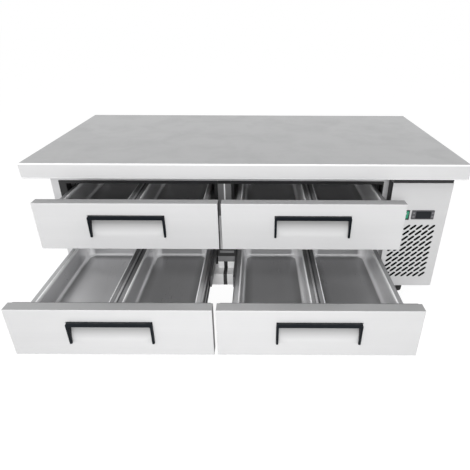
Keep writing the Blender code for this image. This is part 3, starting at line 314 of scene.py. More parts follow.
def build_brushed_grain():
    """Fine lines of brushed sheet, long along one axis, over broad faint bands."""
    tree, given, result = group_tree(
        "brushed_grain", [("Stretch", (1.0, 1.0, 1.0)), ("Fine", 900.0), ("Broad", 26.0)],
        [("Lines", "NodeSocketFloat"), ("Bands", "NodeSocketFloat")])
    stretched = add_node(tree, "ShaderNodeVectorMath", {"operation": "MULTIPLY"}, _0=own_place(tree),
                         _1=given.outputs["Stretch"]).outputs[0]
    fine = add_node(tree, "ShaderNodeTexNoise", Vector=stretched, Scale=given.outputs["Fine"], Detail=3.0,
                    Roughness=0.6)
    broad = add_node(tree, "ShaderNodeTexNoise", Vector=stretched, Scale=given.outputs["Broad"], Detail=4.0,
                     Roughness=0.55)
    connect(tree, result.inputs["Lines"], fine.outputs["Fac"])
    connect(tree, result.inputs["Bands"], broad.outputs["Fac"])


def build_handling_marks():
    """Soft patches where hands and cloths have been."""
    tree, given, result = group_tree("handling_marks", [("Size", 7.0)], [("Marks", "NodeSocketFloat")])
    cloud = add_node(tree, "ShaderNodeTexNoise", Vector=own_place(tree), Scale=given.outputs["Size"],
                     Detail=5.0, Roughness=0.62, Distortion=0.4)
    connect(tree, result.inputs["Marks"], spread(tree, cloud.outputs["Fac"], (0.42, 0.72)))


def build_wear_and_highlight_edges():
    """One where the surface turns sharply within a width, broken up by noise: wear on plastics, painted
    highlight on steel.
    """
    tree, given, result = group_tree("wear_and_highlight_edges", [("Width", 0.002), ("Break", 120.0)],
                                     [("Edges", "NodeSocketFloat")])
    rounded = add_node(tree, "ShaderNodeBevel", {"samples": 4}, Radius=given.outputs["Width"])
    agreement = add_node(tree, "ShaderNodeVectorMath", {"operation": "DOT_PRODUCT"}, _0=rounded.outputs[0],
                         _1=own_normal(tree))
    turned = spread(tree, agreement.outputs["Value"], (0.80, 0.995), (1.0, 0.0))
    noise = add_node(tree, "ShaderNodeTexNoise", Vector=own_place(tree), Scale=given.outputs["Break"],
                     Detail=4.0)
    broken = spread(tree, noise.outputs["Fac"], (0.35, 0.65), (0.35, 1.0))
    connect(tree, result.inputs["Edges"], math_node(tree, "MULTIPLY", turned, broken, clamp=True))


def build_settled_dust():
    """Dust on what faces up."""
    tree, given, result = group_tree("settled_dust", [("Size", 40.0)], [("Dust", "NodeSocketFloat")])
    up = add_node(tree, "ShaderNodeSeparateXYZ", _0=own_normal(tree)).outputs["Z"]
    noise = add_node(tree, "ShaderNodeTexNoise", Vector=own_place(tree), Scale=given.outputs["Size"],
                     Detail=6.0)
    patches = spread(tree, noise.outputs["Fac"], (0.35, 0.75), (0.2, 1.0))
    facing = spread(tree, up, (0.3, 1.0))
    connect(tree, result.inputs["Dust"], math_node(tree, "MULTIPLY", facing, patches, clamp=True))


def build_moulded_grain():
    """Fine pebbled skin of moulded plastic and rubber."""
    tree, given, result = group_tree("moulded_grain", [("Size", 900.0)],
                                     [("Height", "NodeSocketFloat"), ("Tone", "NodeSocketFloat")])
    place = own_place(tree)
    pebbles = add_node(tree, "ShaderNodeTexVoronoi", {"feature": "SMOOTH_F1"}, Vector=place,
                       Scale=given.outputs["Size"])
    tone = add_node(tree, "ShaderNodeTexNoise", Vector=place, Scale=24.0, Detail=5.0)
    connect(tree, result.inputs["Height"], pebbles.outputs["Distance"])
    connect(tree, result.inputs["Tone"], tone.outputs["Fac"])


def place_group(tree, name, **inputs):
    """One of the shared effects, set to a finish's own values."""
    node = tree.nodes.new("ShaderNodeGroup")
    node.node_tree = bpy.data.node_groups[name]
    for label, value in inputs.items():
        connect(tree, node.inputs[label.replace("_", " ")], value)
    return node.outputs


def mix_colours(tree, share, first, second):
    """The first colour at a share of nought, the second at one."""
    node = tree.nodes.new("ShaderNodeMix")
    node.data_type = "RGBA"
    connect(tree, node.inputs["Factor"], share)
    connect(tree, node.inputs["A"], first)
    connect(tree, node.inputs["B"], second)
    return node.outputs["Result"]


def new_finish(name, roughness, metallic=0.0, **constants):
    """A material's tree and its shader, with the values that are the same all over."""
    material = bpy.data.materials.new(name)
    material.use_nodes = True
    tree = material.node_tree
    shader = tree.nodes["Principled BSDF"]
    shader.inputs["Roughness"].default_value = roughness
    shader.inputs["Metallic"].default_value = metallic
    for label, value in constants.items():
        shader.inputs[label.replace("_", " ")].default_value = value
    return material, tree, shader.inputs


def shaded(colour, factor):
    """A colour made darker or brighter, with its alpha."""
    return tuple(min(1.0, channel * factor) for channel in colour) + (1.0,)


def painted_share(tree, name):
    """What a piece's points say about themselves; nought where a mesh says nothing."""
    return add_node(tree, "ShaderNodeAttribute", {"attribute_name": name}).outputs["Fac"]


def add_bump(tree, inputs, height, strength, distance):
    """Small relief that only the light sees."""
    bump = add_node(tree, "ShaderNodeBump", Strength=strength, Distance=distance, Height=height)
    connect(tree, inputs["Normal"], bump.outputs["Normal"])


def steel_finish(name, colour, roughness, stretch, bands=0.05, marks=0.06, dust=0.0, grain=0.02,
                 metallic=1.0, recess=0.5, burnish=1.35, highlight_metallic=None):
    """Brushed stainless sheet; stretch is small along the brushing.

    The three factors after metallic multiply the colour where a piece's points carry painted shade,
    the colour where they carry painted highlight, and metallic under painted highlight.
    """
    material, tree, inputs = new_finish(name, roughness, metallic)
    grain_out = place_group(tree, "brushed_grain", Stretch=stretch)
    handled = place_group(tree, "handling_marks")["Marks"]
    edges = place_group(tree, "wear_and_highlight_edges")["Edges"]
    band_share = spread(tree, grain_out["Bands"], (0.3, 0.7))
    tone = mix_colours(tree, band_share, shaded(colour, 1.0 - bands), shaded(colour, 1.0 + bands))
    line_share = spread(tree, grain_out["Lines"], (0.35, 0.65), (0.0, 0.5))
    lined = mix_colours(tree, line_share, tone, shaded(colour, 1.0 - LINE_DEPTH_SHARE * bands))
    mark_share = math_node(tree, "MULTIPLY", handled, marks)
    marked = mix_colours(tree, mark_share, lined, shaded(colour, MARKED_SHARE))
    # Painted highlight along the steel's sharp edges
    edge_share = math_node(tree, "MULTIPLY", edges, STEEL_EDGE_SHARE)
    shone = mix_colours(tree, edge_share, marked, shaded(colour, EDGE_SHINE_SHARE))
    dusty = place_group(tree, "settled_dust")["Dust"]
    dulled = mix_colours(tree, math_node(tree, "MULTIPLY", dusty, dust), shone, STEEL_DUST)
    # Painted shade, where a piece's points carry it
    with_painted_shade = mix_colours(tree, painted_share(tree, "recess"), dulled, shaded(colour, recess))
    # Painted highlight, where a piece's points carry it, with metallic lowered there so it shows brighter
    burnished = painted_share(tree, "burnish")
    connect(tree, inputs["Base Color"], mix_colours(tree, burnished, with_painted_shade, shaded(colour, burnish)))
    if highlight_metallic:
        connect(tree, inputs["Metallic"], spread(tree, burnished, (0.0, 1.0), (metallic, highlight_metallic * metallic)))
    spots = math_node(tree, "MULTIPLY", handled, ROUGHNESS_SWING)
    lines = math_node(tree, "MULTIPLY", grain_out["Lines"], ROUGHNESS_SWING)
    base = math_node(tree, "ADD", spots, lines)
    connect(tree, inputs["Roughness"], math_node(tree, "ADD", base, roughness - ROUGHNESS_DROP, clamp=True))
    add_bump(tree, inputs, grain_out["Lines"], grain, LINE_RELIEF)
    return material


def plastic_finish(name, colour, roughness, size=900.0, bump=0.12, worn_colour=None, **constants):
    """Moulded plastic, paint or rubber, paler where edges wear, with a little dust on top."""
    material, tree, inputs = new_finish(name, roughness, **constants)
    skin = place_group(tree, "moulded_grain", Size=size)
    edges = place_group(tree, "wear_and_highlight_edges", Width=PLASTIC_WEAR_WIDTH)["Edges"]
    dusty = place_group(tree, "settled_dust")["Dust"]
    tone = mix_colours(tree, skin["Tone"], *[shaded(colour, share) for share in PLASTIC_TONE_SHARES])
    pale = worn_colour or tuple(channel * PALE_SHARE + PALE_LIFT for channel in colour)
    worn = math_node(tree, "MULTIPLY", edges, PLASTIC_WORN_SHARE)
    rubbed = mix_colours(tree, worn, tone, shaded(pale, 1.0))
    final = mix_colours(tree, math_node(tree, "MULTIPLY", dusty, PLASTIC_DUST_SHARE), rubbed, PLASTIC_DUST)
    connect(tree, inputs["Base Color"], final)
    swing = (roughness - PLASTIC_ROUGHNESS_SWING, roughness + PLASTIC_ROUGHNESS_SWING)
    connect(tree, inputs["Roughness"], spread(tree, skin["Tone"], (0.3, 0.7), swing))
    add_bump(tree, inputs, skin["Height"], bump, PEBBLE_RELIEF)
    return material


# The finishes

STEELS = {
    # The worktop's top is a darker copy of its edges' steel: painted shade; its edges carry painted
    # highlights
    "worktop_top_painted_shade_steel": dict(colour=(0.412, 0.414, 0.418), roughness=0.36, stretch=ACROSS, bands=0.012,
                          marks=0.02, highlight_metallic=0.6),
    "worktop_edge_steel": dict(colour=(0.75, 0.75, 0.755), roughness=0.45, stretch=ACROSS, bands=0.015,
                               marks=0.04, metallic=0.25, burnish=1.3, highlight_metallic=0.6),
    "front_steel": dict(colour=(0.715, 0.715, 0.72), roughness=0.45, stretch=ACROSS, bands=0.015, marks=0.04,
                        metallic=0.2, recess=0.55),
    # Darker copies of the front's steel for its up-facing folds and its sides: painted shade
    "fold_painted_shade_steel": dict(colour=(0.40, 0.402, 0.407), roughness=0.42, stretch=ACROSS, bands=0.03, dust=0.15),
    "side_painted_shade_steel": dict(colour=(0.25, 0.25, 0.255), roughness=0.45, stretch=UPRIGHT, metallic=0.6),
    "liner_steel": dict(colour=(0.55, 0.55, 0.56), roughness=0.38, stretch=UPRIGHT, dust=0.1),
    "body_steel": dict(colour=(0.72, 0.72, 0.73), roughness=0.42, stretch=UPRIGHT, bands=0.03, metallic=0.5),
    # Pale steel: painted light where the sill and mullion foot sit in shade, and a painted highlight line on
    # the mullion
    "painted_light_steel": dict(colour=(0.94, 0.94, 0.94), roughness=0.5, stretch=ACROSS, bands=0.01, marks=0.02,
                       metallic=0.0),
    "drawer_steel": dict(colour=(0.42, 0.42, 0.43), roughness=0.38, stretch=DEEP, dust=0.1),
    "shadow_steel": dict(colour=(0.10, 0.10, 0.105), roughness=0.45, stretch=DEEP, bands=0.08, metallic=0.6),
    "rib_steel": dict(colour=(0.62, 0.62, 0.63), roughness=0.36, stretch=DEEP, metallic=0.8),
    "pan_steel": dict(colour=(0.62, 0.62, 0.63), roughness=0.32, stretch=DEEP, bands=0.03, marks=0.05,
                      grain=0.01, metallic=0.75, recess=0.35, burnish=1.6, highlight_metallic=0.5),
    "zinc_steel": dict(colour=(0.16, 0.16, 0.165), roughness=0.42, stretch=DEEP, bands=0.10, marks=0.15,
                       dust=0.1, metallic=0.7),
    "coil_fins": dict(colour=(0.62, 0.63, 0.64), roughness=0.45, stretch=UPRIGHT, bands=0.12, dust=0.3),
    # Dark grey: painted shade on the mullion under the worktop and the upper drawers
    "mullion_painted_shade_steel": dict(colour=(0.24, 0.24, 0.245), roughness=0.5, stretch=ACROSS, bands=0.08,
                          metallic=0.4)}

PLASTICS = {
    "handle_plastic": dict(colour=(0.004, 0.006, 0.009), roughness=0.5, Specular_IOR_Level=0.15),
    "breaker_plastic": dict(colour=(0.018, 0.018, 0.019), roughness=0.5),
    "gasket_rubber": dict(colour=(0.10, 0.10, 0.105), roughness=0.62),
    "tyre_rubber": dict(colour=(0.020, 0.020, 0.020), roughness=0.78, bump=0.25),
    "painted_steel": dict(colour=(0.016, 0.016, 0.017), roughness=0.40, bump=0.05,
                          worn_colour=(0.20, 0.20, 0.20), Coat_Weight=0.3),
    "switch_green": dict(colour=(0.010, 0.30, 0.16), roughness=0.28, bump=0.03, Coat_Weight=0.4),
    "controller_case": dict(colour=(0.085, 0.083, 0.090), roughness=0.5),
    "controller_key": dict(colour=(0.16, 0.16, 0.17), roughness=0.45),
    "controller_window": dict(colour=(0.004, 0.006, 0.009), roughness=0.35, bump=0.0,
                              Specular_IOR_Level=0.3),
    "hub_plastic": dict(colour=(0.030, 0.030, 0.031), roughness=0.45),
    # Black foam, its black also painted shade inside the louvre slots
    "black_foam_and_shade": dict(colour=(0.006, 0.006, 0.006), roughness=0.9, size=500.0, bump=0.4,
                        Specular_IOR_Level=0.1),
    "mark_print": dict(colour=(0.62, 0.62, 0.62), roughness=0.5, bump=0.0)}

for build_effect in (build_brushed_grain, build_handling_marks, build_wear_and_highlight_edges, build_settled_dust,
                     build_moulded_grain):
    build_effect()

FINISHES = {name: steel_finish(name, **look) for name, look in STEELS.items()}
FINISHES.update({name: plastic_finish(name, **look) for name, look in PLASTICS.items()})


# Ways to make a mesh

def rectangle_loop(low_u, high_u, low_v, high_v, radius, steps=CORNER_STEPS):
    """Points round a rectangle with round corners, as (u, v)."""
    corners = ((high_u - radius, high_v - radius), (low_u + radius, high_v - radius),
               (low_u + radius, low_v + radius), (high_u - radius, low_v + radius))
    points = []
    for quarter, (middle_u, middle_v) in enumerate(corners):
        for step in range(steps + 1):
            angle = (quarter + step / steps) * math.pi / 2
            points.append((middle_u + radius * math.cos(angle), middle_v + radius * math.sin(angle)))
    return points


def flat_loop(low, high, inset, z, radius):
    """Points at z round a flat rectangle from low to high, moved in by an inset."""
    outline = rectangle_loop(low.x + inset, high.x - inset, low.y + inset, high.y - inset, radius)
    return [Vector((u, v, z)) for u, v in outline]


def upright_place(u, v, w):
    """u runs along X, v up, and w back from the front."""
    return Vector((u, w, v))


def upright_loop(low, high, inset, y, radius, steps=CORNER_STEPS):
    """Points at y round an upright rectangle from low to high, moved in by an inset."""
    outline = rectangle_loop(low.x + inset, high.x - inset, low.z + inset, high.z - inset, radius, steps)
    return [upright_place(u, v, y) for u, v in outline]


def arc(radius, steps=EDGE_STEPS):
    """(inset, drop) of a quarter round, from the side of an edge to its top."""
    turns = [math.pi / 2 * step / steps for step in range(steps, -1, -1)]
    return [(radius * (1 - math.sin(turn)), radius * (1 - math.cos(turn))) for turn in turns]


def loft(shape, loops, closed=False, cap_first=False, cap_last=False, finish=0):
    """Faces between loops that have the same number of points."""
    rows = [[shape.verts.new(point) for point in loop] for loop in loops]
    count = len(rows[0])
    pairs = list(zip(rows, rows[1:]))
    if closed:
        pairs.append((rows[-1], rows[0]))
    for low, high in pairs:
        for index in range(count):
            after = (index + 1) % count
            shape.faces.new((low[index], low[after], high[after], high[index])).material_index = finish
    if cap_first:
        shape.faces.new(rows[0][::-1]).material_index = finish
    if cap_last:
        shape.faces.new(rows[-1]).material_index = finish
    return rows


def new_shape():
    """A mesh to build, whose points can carry painted shade and painted highlight."""
    shape = bmesh.new()
    return shape, shape.verts.layers.float.new("recess"), shape.verts.layers.float.new("burnish")


def say(layer, rows, shares):
    """Give each row of points its share of what the layer holds."""
    for row, share in zip(rows, shares):
        for vert in row:
            vert[layer] = share


def finish_piece(name, shape, finishes, body, slot, *nodes):
    """The piece made from a bmesh: smooth where it curves, riding on its body."""
    bmesh.ops.remove_doubles(shape, verts=shape.verts, dist=MERGE_WITHIN)
    bmesh.ops.recalc_face_normals(shape, faces=shape.faces)
    mesh = bpy.data.meshes.new(name)
    shape.to_mesh(mesh)
    shape.free()
    for face in mesh.polygons:
        face.use_smooth = True
    mesh.set_sharp_from_angle(angle=SMOOTH_ANGLE)
    for finish in finishes:
        mesh.materials.append(FINISHES[finish])
    piece = bpy.data.objects.new(name, mesh)
    bpy.context.scene.collection.objects.link(piece)
    weights = piece.modifiers.new("even_normals", "WEIGHTED_NORMAL")
    weights.keep_sharp = True
    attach(piece, body)
    if nodes:
        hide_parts(*nodes)


def add_block(shape, low, high, edge=BLOCK_EDGE, finish=0):
    """A box with rounded edges, added to a shape."""
    made = bmesh.ops.create_cube(shape, size=1.0)
    middle, size = (Vector(low) + Vector(high)) / 2, Vector(high) - Vector(low)
    for vert in made["verts"]:
        vert.co = Vector(part * length for part, length in zip(vert.co, size)) + middle
    faces = {face for vert in made["verts"] for face in vert.link_faces}
    for face in faces:
        face.material_index = finish
    edges = {side for face in faces for side in face.edges}
    if edge:
        bmesh.ops.bevel(shape, geom=list(edges), offset=edge, segments=BLOCK_EDGE_STEPS, profile=0.5,
                        affect="EDGES", material=-1)


def turned_loops(middle, profile, segments=TURNED_SEGMENTS):
    """Loops of a profile of (radius, distance along X) turned round an axis along X through middle."""
    side = X_AXIS.orthogonal().normalized()
    other = X_AXIS.cross(side)
    turns = [math.tau * index / segments for index in range(segments)]
    return [[Vector(middle) + X_AXIS * along + (side * math.cos(turn) + other * math.sin(turn)) * radius
             for turn in turns] for radius, along in profile]


def mirrored(half):
    """A whole profile of (radius, distance along) from its first half."""
    return list(half) + [(radius, -along) for radius, along in reversed(half)]


# The pieces

def make_worktop():
    """Folded slab: a flat top, rounded edges and a hem turned in underneath."""
    low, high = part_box("worktop")
    shape, _, burnish = new_shape()

    def loop(inset, z):
        return flat_loop(low, high, inset, z, max(WORKTOP_CORNER - inset, WORKTOP_LEAST_CORNER))

    hem_z = low.z + WORKTOP_HEM_STEP
    under = [loop(WORKTOP_HEM + WORKTOP_HEM_STEP, hem_z), loop(WORKTOP_HEM, hem_z), loop(WORKTOP_HEM, low.z)]
    foot = [loop(inset, low.z + drop) for inset, drop in reversed(arc(WORKTOP_FOOT_EDGE))]
    plain = [loop(0.0, low.z + WORKTOP_FOOT_EDGE * WORKTOP_PLAIN_SHARE),
             loop(0.0, high.z - WORKTOP_EDGE * WORKTOP_PLAIN_SHARE)]
    top = [loop(inset, high.z - drop) for inset, drop in arc(WORKTOP_EDGE)]
    inner = [loop(WORKTOP_EDGE * 2, high.z)]
    rows = loft(shape, under + foot + plain + top + inner, cap_first=True, cap_last=True, finish=1)
    first_foot, first_top = len(under), len(under + foot + plain)
    # Painted highlights along the rounded foot and top edges
    say(burnish, rows[first_foot:first_foot + len(foot)], [1.0] * len(foot))
    say(burnish, rows[first_top:first_top + len(top)], [1.0] * (len(top) - 1) + [0.0])
    # The flat top takes the darker worktop steel: painted shade on what faces up
    for face in shape.faces:
        face.normal_update()
        if face.normal.z > FACING_SHARE and face.calc_center_median().z > high.z - WORKTOP_FOOT_EDGE:
            face.material_index = 0
    finish_piece("worktop_slab", shape, ["worktop_top_painted_shade_steel", "worktop_edge_steel"], "root",
                 "brushed_stainless", "worktop")


def grip_depth(share):
    """How deep the scoop is at a share of its height, from its foot to its top."""
    return GRIP_DEEP * (1 - math.cos(min(max(share, 0.0), 1.0) * math.pi / 2))


def grip_shade(share, from_side):
    """How much less light the scoop gets at a share of its height, and near the legs at its sides."""
    upward = min(max((share - GRIP_SHADE_FROM_SHARE) / GRIP_SHADE_OVER_SHARE, 0.0), 1.0)
    sideways = math.exp(-max(from_side - LEG_WIDTH, 0.0) / GRIP_SIDE_SHADE_REACH)
    return max(upward, sideways * (GRIP_SIDE_SHADE_AT_FOOT + (1 - GRIP_SIDE_SHADE_AT_FOOT) * share))


def make_front(level, side):
    """Drawer front: a folded skin with the scoop pressed in it and a hem round its back."""
    finishes = ["front_steel", "fold_painted_shade_steel", "liner_steel", "side_painted_shade_steel"]
    ends = ((-1, 0), (1, -1))
    name = f"{level}_{side}_front"
    low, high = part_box(name)
    middle_x = (low.x + high.x) / 2
    shape, recess, _ = new_shape()

    def loop(inset, y):
        return [upright_place(u, v, y) for u, v in
                ((high.x - inset, high.z - inset), (low.x + inset, high.z - inset),
                 (low.x + inset, low.z + inset), (high.x - inset, low.z + inset))]

    hem_y = high.y - SHEET
    back = [loop(FRONT_HEM + SHEET, hem_y), loop(FRONT_HEM, hem_y), loop(FRONT_HEM, high.y)]
    back += [loop(inset, high.y - drop) for inset, drop in reversed(arc(FRONT_EDGE, FEW_STEPS))]
    face = [loop(inset, low.y + drop) for inset, drop in arc(FRONT_EDGE, FEW_STEPS)]
    rows = loft(shape, back + face, cap_first=True)
    top_right, top_left, foot_left, foot_right = rows[-1]
    half = GRIP_HALF + SEAT
    shares = [step / GRIP_ROWS for step in range(GRIP_ROWS + 1)]
    heights = [low.z + GRIP_FOOT + (GRIP_TOP - GRIP_FOOT) * share for share in shares]
    columns = [-half + inset for inset in GRIP_COLUMN_INSETS]
    columns += [-x for x in reversed(columns)]
    foot_row = [shape.verts.new((middle_x + x, low.y, heights[0])) for x in columns]
    edges = {}
    for sign, end in ends:
        x = middle_x + sign * half
        edges[sign] = [foot_row[end]] + [shape.verts.new((x, low.y, z)) for z in heights[1:]]
    grid = [foot_row]
    for share, z in list(zip(shares, heights))[1:]:
        row = [shape.verts.new((middle_x + x, low.y + grip_depth(share), z)) for x in columns]
        # Painted shade in the scoop, darker up under the lip and beside the legs
        for vert, x in zip(row, columns):
            vert[recess] = grip_shade(share, half - abs(x))
        grid.append(row)
    shape.faces.new([top_left, top_right, edges[1][-1], edges[-1][-1]])
    shape.faces.new([foot_right, foot_left] + foot_row)
    shape.faces.new([top_right, foot_right] + edges[1])
    shape.faces.new([foot_left, top_left] + edges[-1][::-1])
    shape.faces.new([edges[-1][-1], edges[1][-1]] + grid[-1][::-1])
    for index, (below, above) in enumerate(zip(grid, grid[1:])):
        for column in range(len(columns) - 1):
            shape.faces.new([below[column], below[column + 1], above[column + 1], above[column]])
        for sign, end in ends:
            corners = [edges[sign][index], below[end], above[end], edges[sign][index + 1]]
            shape.faces.new(corners[1:] if index == 0 else corners)
    for face in shape.faces:
        face.normal_update()
    bmesh.ops.recalc_face_normals(shape, faces=shape.faces)
    # Up-facing folds and the side faces take darker copies of the front's steel: painted shade
    for face in shape.faces:
        middle = face.calc_center_median()
        if abs(face.normal.z) > FACING_SHARE and middle.y > low.y + FRONT_EDGE:
            face.material_index = finishes.index("fold_painted_shade_steel")
        elif abs(face.normal.x) > FACING_SHARE and abs(middle.x - middle_x) > half + SHEET:
            face.material_index = finishes.index("side_painted_shade_steel")
        elif face.normal.y > BACK_FACING_SHARE:
            face.material_index = finishes.index("liner_steel")
    finish_piece(f"{name}_skin", shape, finishes, f"{level}_{side}_drawer", "brushed_stainless", name)


def leg_stations(foot_z, top_z, face_y):
    """Slices up the left leg, each an outer and an inner point (x, z) and its front and back."""
    inner_top = top_z - LIP_HEIGHT - LIP_INNER_CORNER
    outer_top = top_z - LIP_OUTER_CORNER
    above_foot = outer_top - foot_z - LEG_FOOT_ROUND
    turns = [math.radians(angle) for angle in LEG_FOOT_ANGLES]
    rises = [LEG_FOOT_ROUND * (1 - math.cos(turn)) for turn in turns]
    rises += [LEG_FOOT_ROUND + above_foot * step / HANDLE_STEPS for step in range(1, HANDLE_STEPS + 1)]
    swells = [math.sin(turn) for turn in turns] + [1.0] * HANDLE_STEPS
    middle = -GRIP_HALF + LEG_WIDTH / 2
    stations = []
    for rise, swell in zip(rises, swells):
        half = LEG_WIDTH / 2 * swell
        inner_z = foot_z + (inner_top - foot_z) * rise / (outer_top - foot_z)
        grip_share = (rise + inner_z - foot_z) / 2 / (GRIP_TOP - GRIP_FOOT)
        proud = LEG_FOOT_PROUD + (LIP_PROUD - LEG_FOOT_PROUD) * min(1.0, grip_share / LEG_FULL_SHARE)
        back = face_y + max(grip_depth(grip_share) - 2 * SEAT, SEAT)
        outer, inner = (middle - half, foot_z + rise), (middle + half, inner_z)
        stations.append((outer, inner, face_y - proud * swell, back))
    return stations


def make_handle(level, side):
    """Dark lip over the scoop with a leg down each side, one moulding that follows the scoop behind."""
    name = f"{level}_{side}_handle"
    low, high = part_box(name)
    front_low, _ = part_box(f"{level}_{side}_front")
    middle_x = (low.x + high.x) / 2
    face_y = low.y + LIP_PROUD
    stations = leg_stations(front_low.z + GRIP_FOOT, high.z, face_y)
    leg_back = stations[-1][3]
    for step in range(1, CORNER_STEPS + 1):
        turned = math.pi * (1 - step / CORNER_STEPS / 2)
        outer = (-GRIP_HALF + LIP_OUTER_CORNER * (1 + math.cos(turned)),
                 high.z - LIP_OUTER_CORNER * (1 - math.sin(turned)))
        inner = (-GRIP_HALF + LEG_WIDTH + LIP_INNER_CORNER * (1 + math.cos(turned)),
                 high.z - LIP_HEIGHT - LIP_INNER_CORNER * (1 - math.sin(turned)))
        back = leg_back + (face_y + LIP_BACK - leg_back) * step / CORNER_STEPS
        stations.append((outer, inner, face_y - LIP_PROUD, back))
    stations += [((-outer[0], outer[1]), (-inner[0], inner[1]), front, back)
                 for outer, inner, front, back in stations[::-1]]
    loops = []
    for outer, inner, front, back in stations:
        inside = Vector((middle_x + inner[0], 0, inner[1]))
        across = Vector((middle_x + outer[0], 0, outer[1])) - inside
        width = across.length
        edge = min(HANDLE_EDGE, width * HANDLE_EDGE_MOST_SHARE, (back - front) * HANDLE_EDGE_MOST_SHARE)
        loops.append([inside + across * (u / width) + Vector((0, v, 0))
                      for u, v in rectangle_loop(0.0, width, front, back, edge, FEW_STEPS)])
    shape, _, _ = new_shape()
    loft(shape, loops, cap_first=True, cap_last=True)
    finish_piece(f"{name}_moulding", shape, ["handle_plastic"], f"{level}_{side}_drawer", "black_plastic",
                 name)


def pan_sections():
    """A pan's outer skin, rim, roll, wall, foot and floor, in sections of (inset, drop, corner's radius)."""
    inner = PAN_INNER_CORNER
    foot_inset = PAN_RIM + PAN_DRAFT
    rim = [(0.0, PAN_RIM_SKIRT, PAN_OUTER_CORNER),
           (0.0, PAN_RIM_EDGE, PAN_OUTER_CORNER),
           (PAN_RIM_EDGE / 3, PAN_RIM_EDGE / 3, PAN_OUTER_CORNER),
           (PAN_RIM_EDGE, 0.0, PAN_OUTER_CORNER),
           (PAN_RIM - PAN_RIM_ROLL - SHEET, 0.0, inner + PAN_RIM_ROLL + SHEET)]
    roll = []
    for turn in QUARTER_TURNS[1:]:
        left = PAN_RIM_ROLL * (1 - math.sin(turn))
        roll.append((PAN_RIM - left, PAN_RIM_ROLL * (1 - math.cos(turn)), inner + left))
    wall_drop = PAN_FLOOR_DROP - PAN_FOOT - PAN_RIM_ROLL
    wall = [(PAN_RIM + PAN_DRAFT * share, PAN_RIM_ROLL + wall_drop * share, inner - PAN_DRAFT * share)
            for share in PAN_WALL_SHARES]
    foot = []
    for turn in QUARTER_TURNS:
        inward = PAN_FOOT * (1 - math.cos(turn))
        foot.append((foot_inset + inward, PAN_FLOOR_DROP - PAN_FOOT * (1 - math.sin(turn)),
                     max(inner - PAN_DRAFT - inward, PAN_LEAST_CORNER)))
    floor = [(foot_inset + PAN_FOOT + PAN_FLOOR_SHADE_REACH, PAN_FLOOR_DROP, PAN_LEAST_CORNER)]
    inside = roll + wall + foot + floor
    skin = [(inset - SHEET, drop + SHEET, radius + SHEET) for inset, drop, radius in reversed(inside)
            if drop >= PAN_RIM_ROLL]
    skin += [(PAN_RIM - PAN_RIM_ROLL, SHEET, inner + PAN_RIM_ROLL),
             (SHEET * 2, SHEET, PAN_OUTER_CORNER),
             (SHEET, PAN_RIM_SKIRT, PAN_OUTER_CORNER - SHEET)]
    return skin, rim, roll, wall, foot, floor


def pan_column_shines():
    """How much painted highlight a pan's walls get at each point round it: the bends, and the sides near the
    back.
    """
    turns = [step / CORNER_STEPS for step in range(CORNER_STEPS + 1)]
    bend = [math.sin(math.pi * turn) for turn in turns]
    back_corner = [max(shine, 1 - turn) for shine, turn in zip(bend, turns)]
    left_side, right_side = ([wall_shine] + [max(shine, wall_shine) for shine in bend]
                             for wall_shine in (LEFT_WALL_SHINE, RIGHT_WALL_SHINE))
    return back_corner + back_corner[::-1] + left_side + right_side[::-1]


def make_pan(level, side, place):
    """Deep-drawn pan: rolled rim, tapering walls, bends with painted highlights and a round foot."""
    name = f"{level}_{side}_{place}_pan"
    low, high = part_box(name)
    middle_x = (low.x + high.x) / 2
    shape, recess, burnish = new_shape()

    def loop(inset, drop, radius):
        points = flat_loop(low, high, inset, high.z - drop, radius)
        side_y = high.y - inset - radius - BACK_SHINE_REACH
        points.insert(2 * (CORNER_STEPS + 1), Vector((low.x + inset, side_y, high.z - drop)))
        points.append(Vector((high.x - inset, side_y, high.z - drop)))
        return points

    groups = pan_sections()
    rows = iter(loft(shape, [loop(*section) for group in groups for section in group],
                     cap_first=True, cap_last=True))
    row_groups = [[next(rows) for _ in group] for group in groups]
    _, rim_rows, roll_rows, wall_rows, foot_rows, floor_rows = row_groups
    gutter_sign = 1 if place == "left" else -1
    # Painted shade on the rims, darkest beside the gutter
    for vert in [vert for row in rim_rows for vert in row]:
        by_gutter = (vert.co.x - middle_x) * gutter_sign > (high.x - low.x) / 2 - PAN_RIM
        vert[recess] = RIM_GUTTER_SHADE if by_gutter else RIM_SIDE_SHADE
    # Painted highlight along the rolled rim and in a line on the foot's bend; painted shade at the floor's
    # edge
    say(burnish, roll_rows, [1.0] * len(roll_rows))
    say(burnish, foot_rows, [math.sin(2 * turn) ** FOOT_LINE_SHARPNESS for turn in QUARTER_TURNS])
    say(recess, foot_rows[-2:], (FOOT_SHADE, FLOOR_EDGE_SHADE))
    # The brightest pan's floor gets a painted reflection and its back wall no painted shade; other floors
    # get painted shade
    if name == BRIGHTEST_PAN:
        say(burnish, floor_rows, [BRIGHTEST_FLOOR_SHINE])
        back_shade = BRIGHTEST_BACK_WALL_SHADE
    else:
        say(recess, floor_rows, [FLOOR_SHADE])
        back_shade = BACK_WALL_SHADE
    # Painted highlights on the bends and the side walls near the back; painted shade on the back wall
    back_y = high.y - PAN_RIM - PAN_DRAFT - PAN_FOOT / 2
    for row in wall_rows + foot_rows[:-1]:
        for vert, shine in zip(row, pan_column_shines()):
            vert[burnish] = max(vert[burnish], shine)
            if vert.co.y > back_y and shine < LEAST_BEND_SHINE:
                vert[recess] = back_shade
    finish_piece(f"{name}_shell", shape, ["pan_steel"], f"{level}_{side}_drawer", "pan_stainless", name)


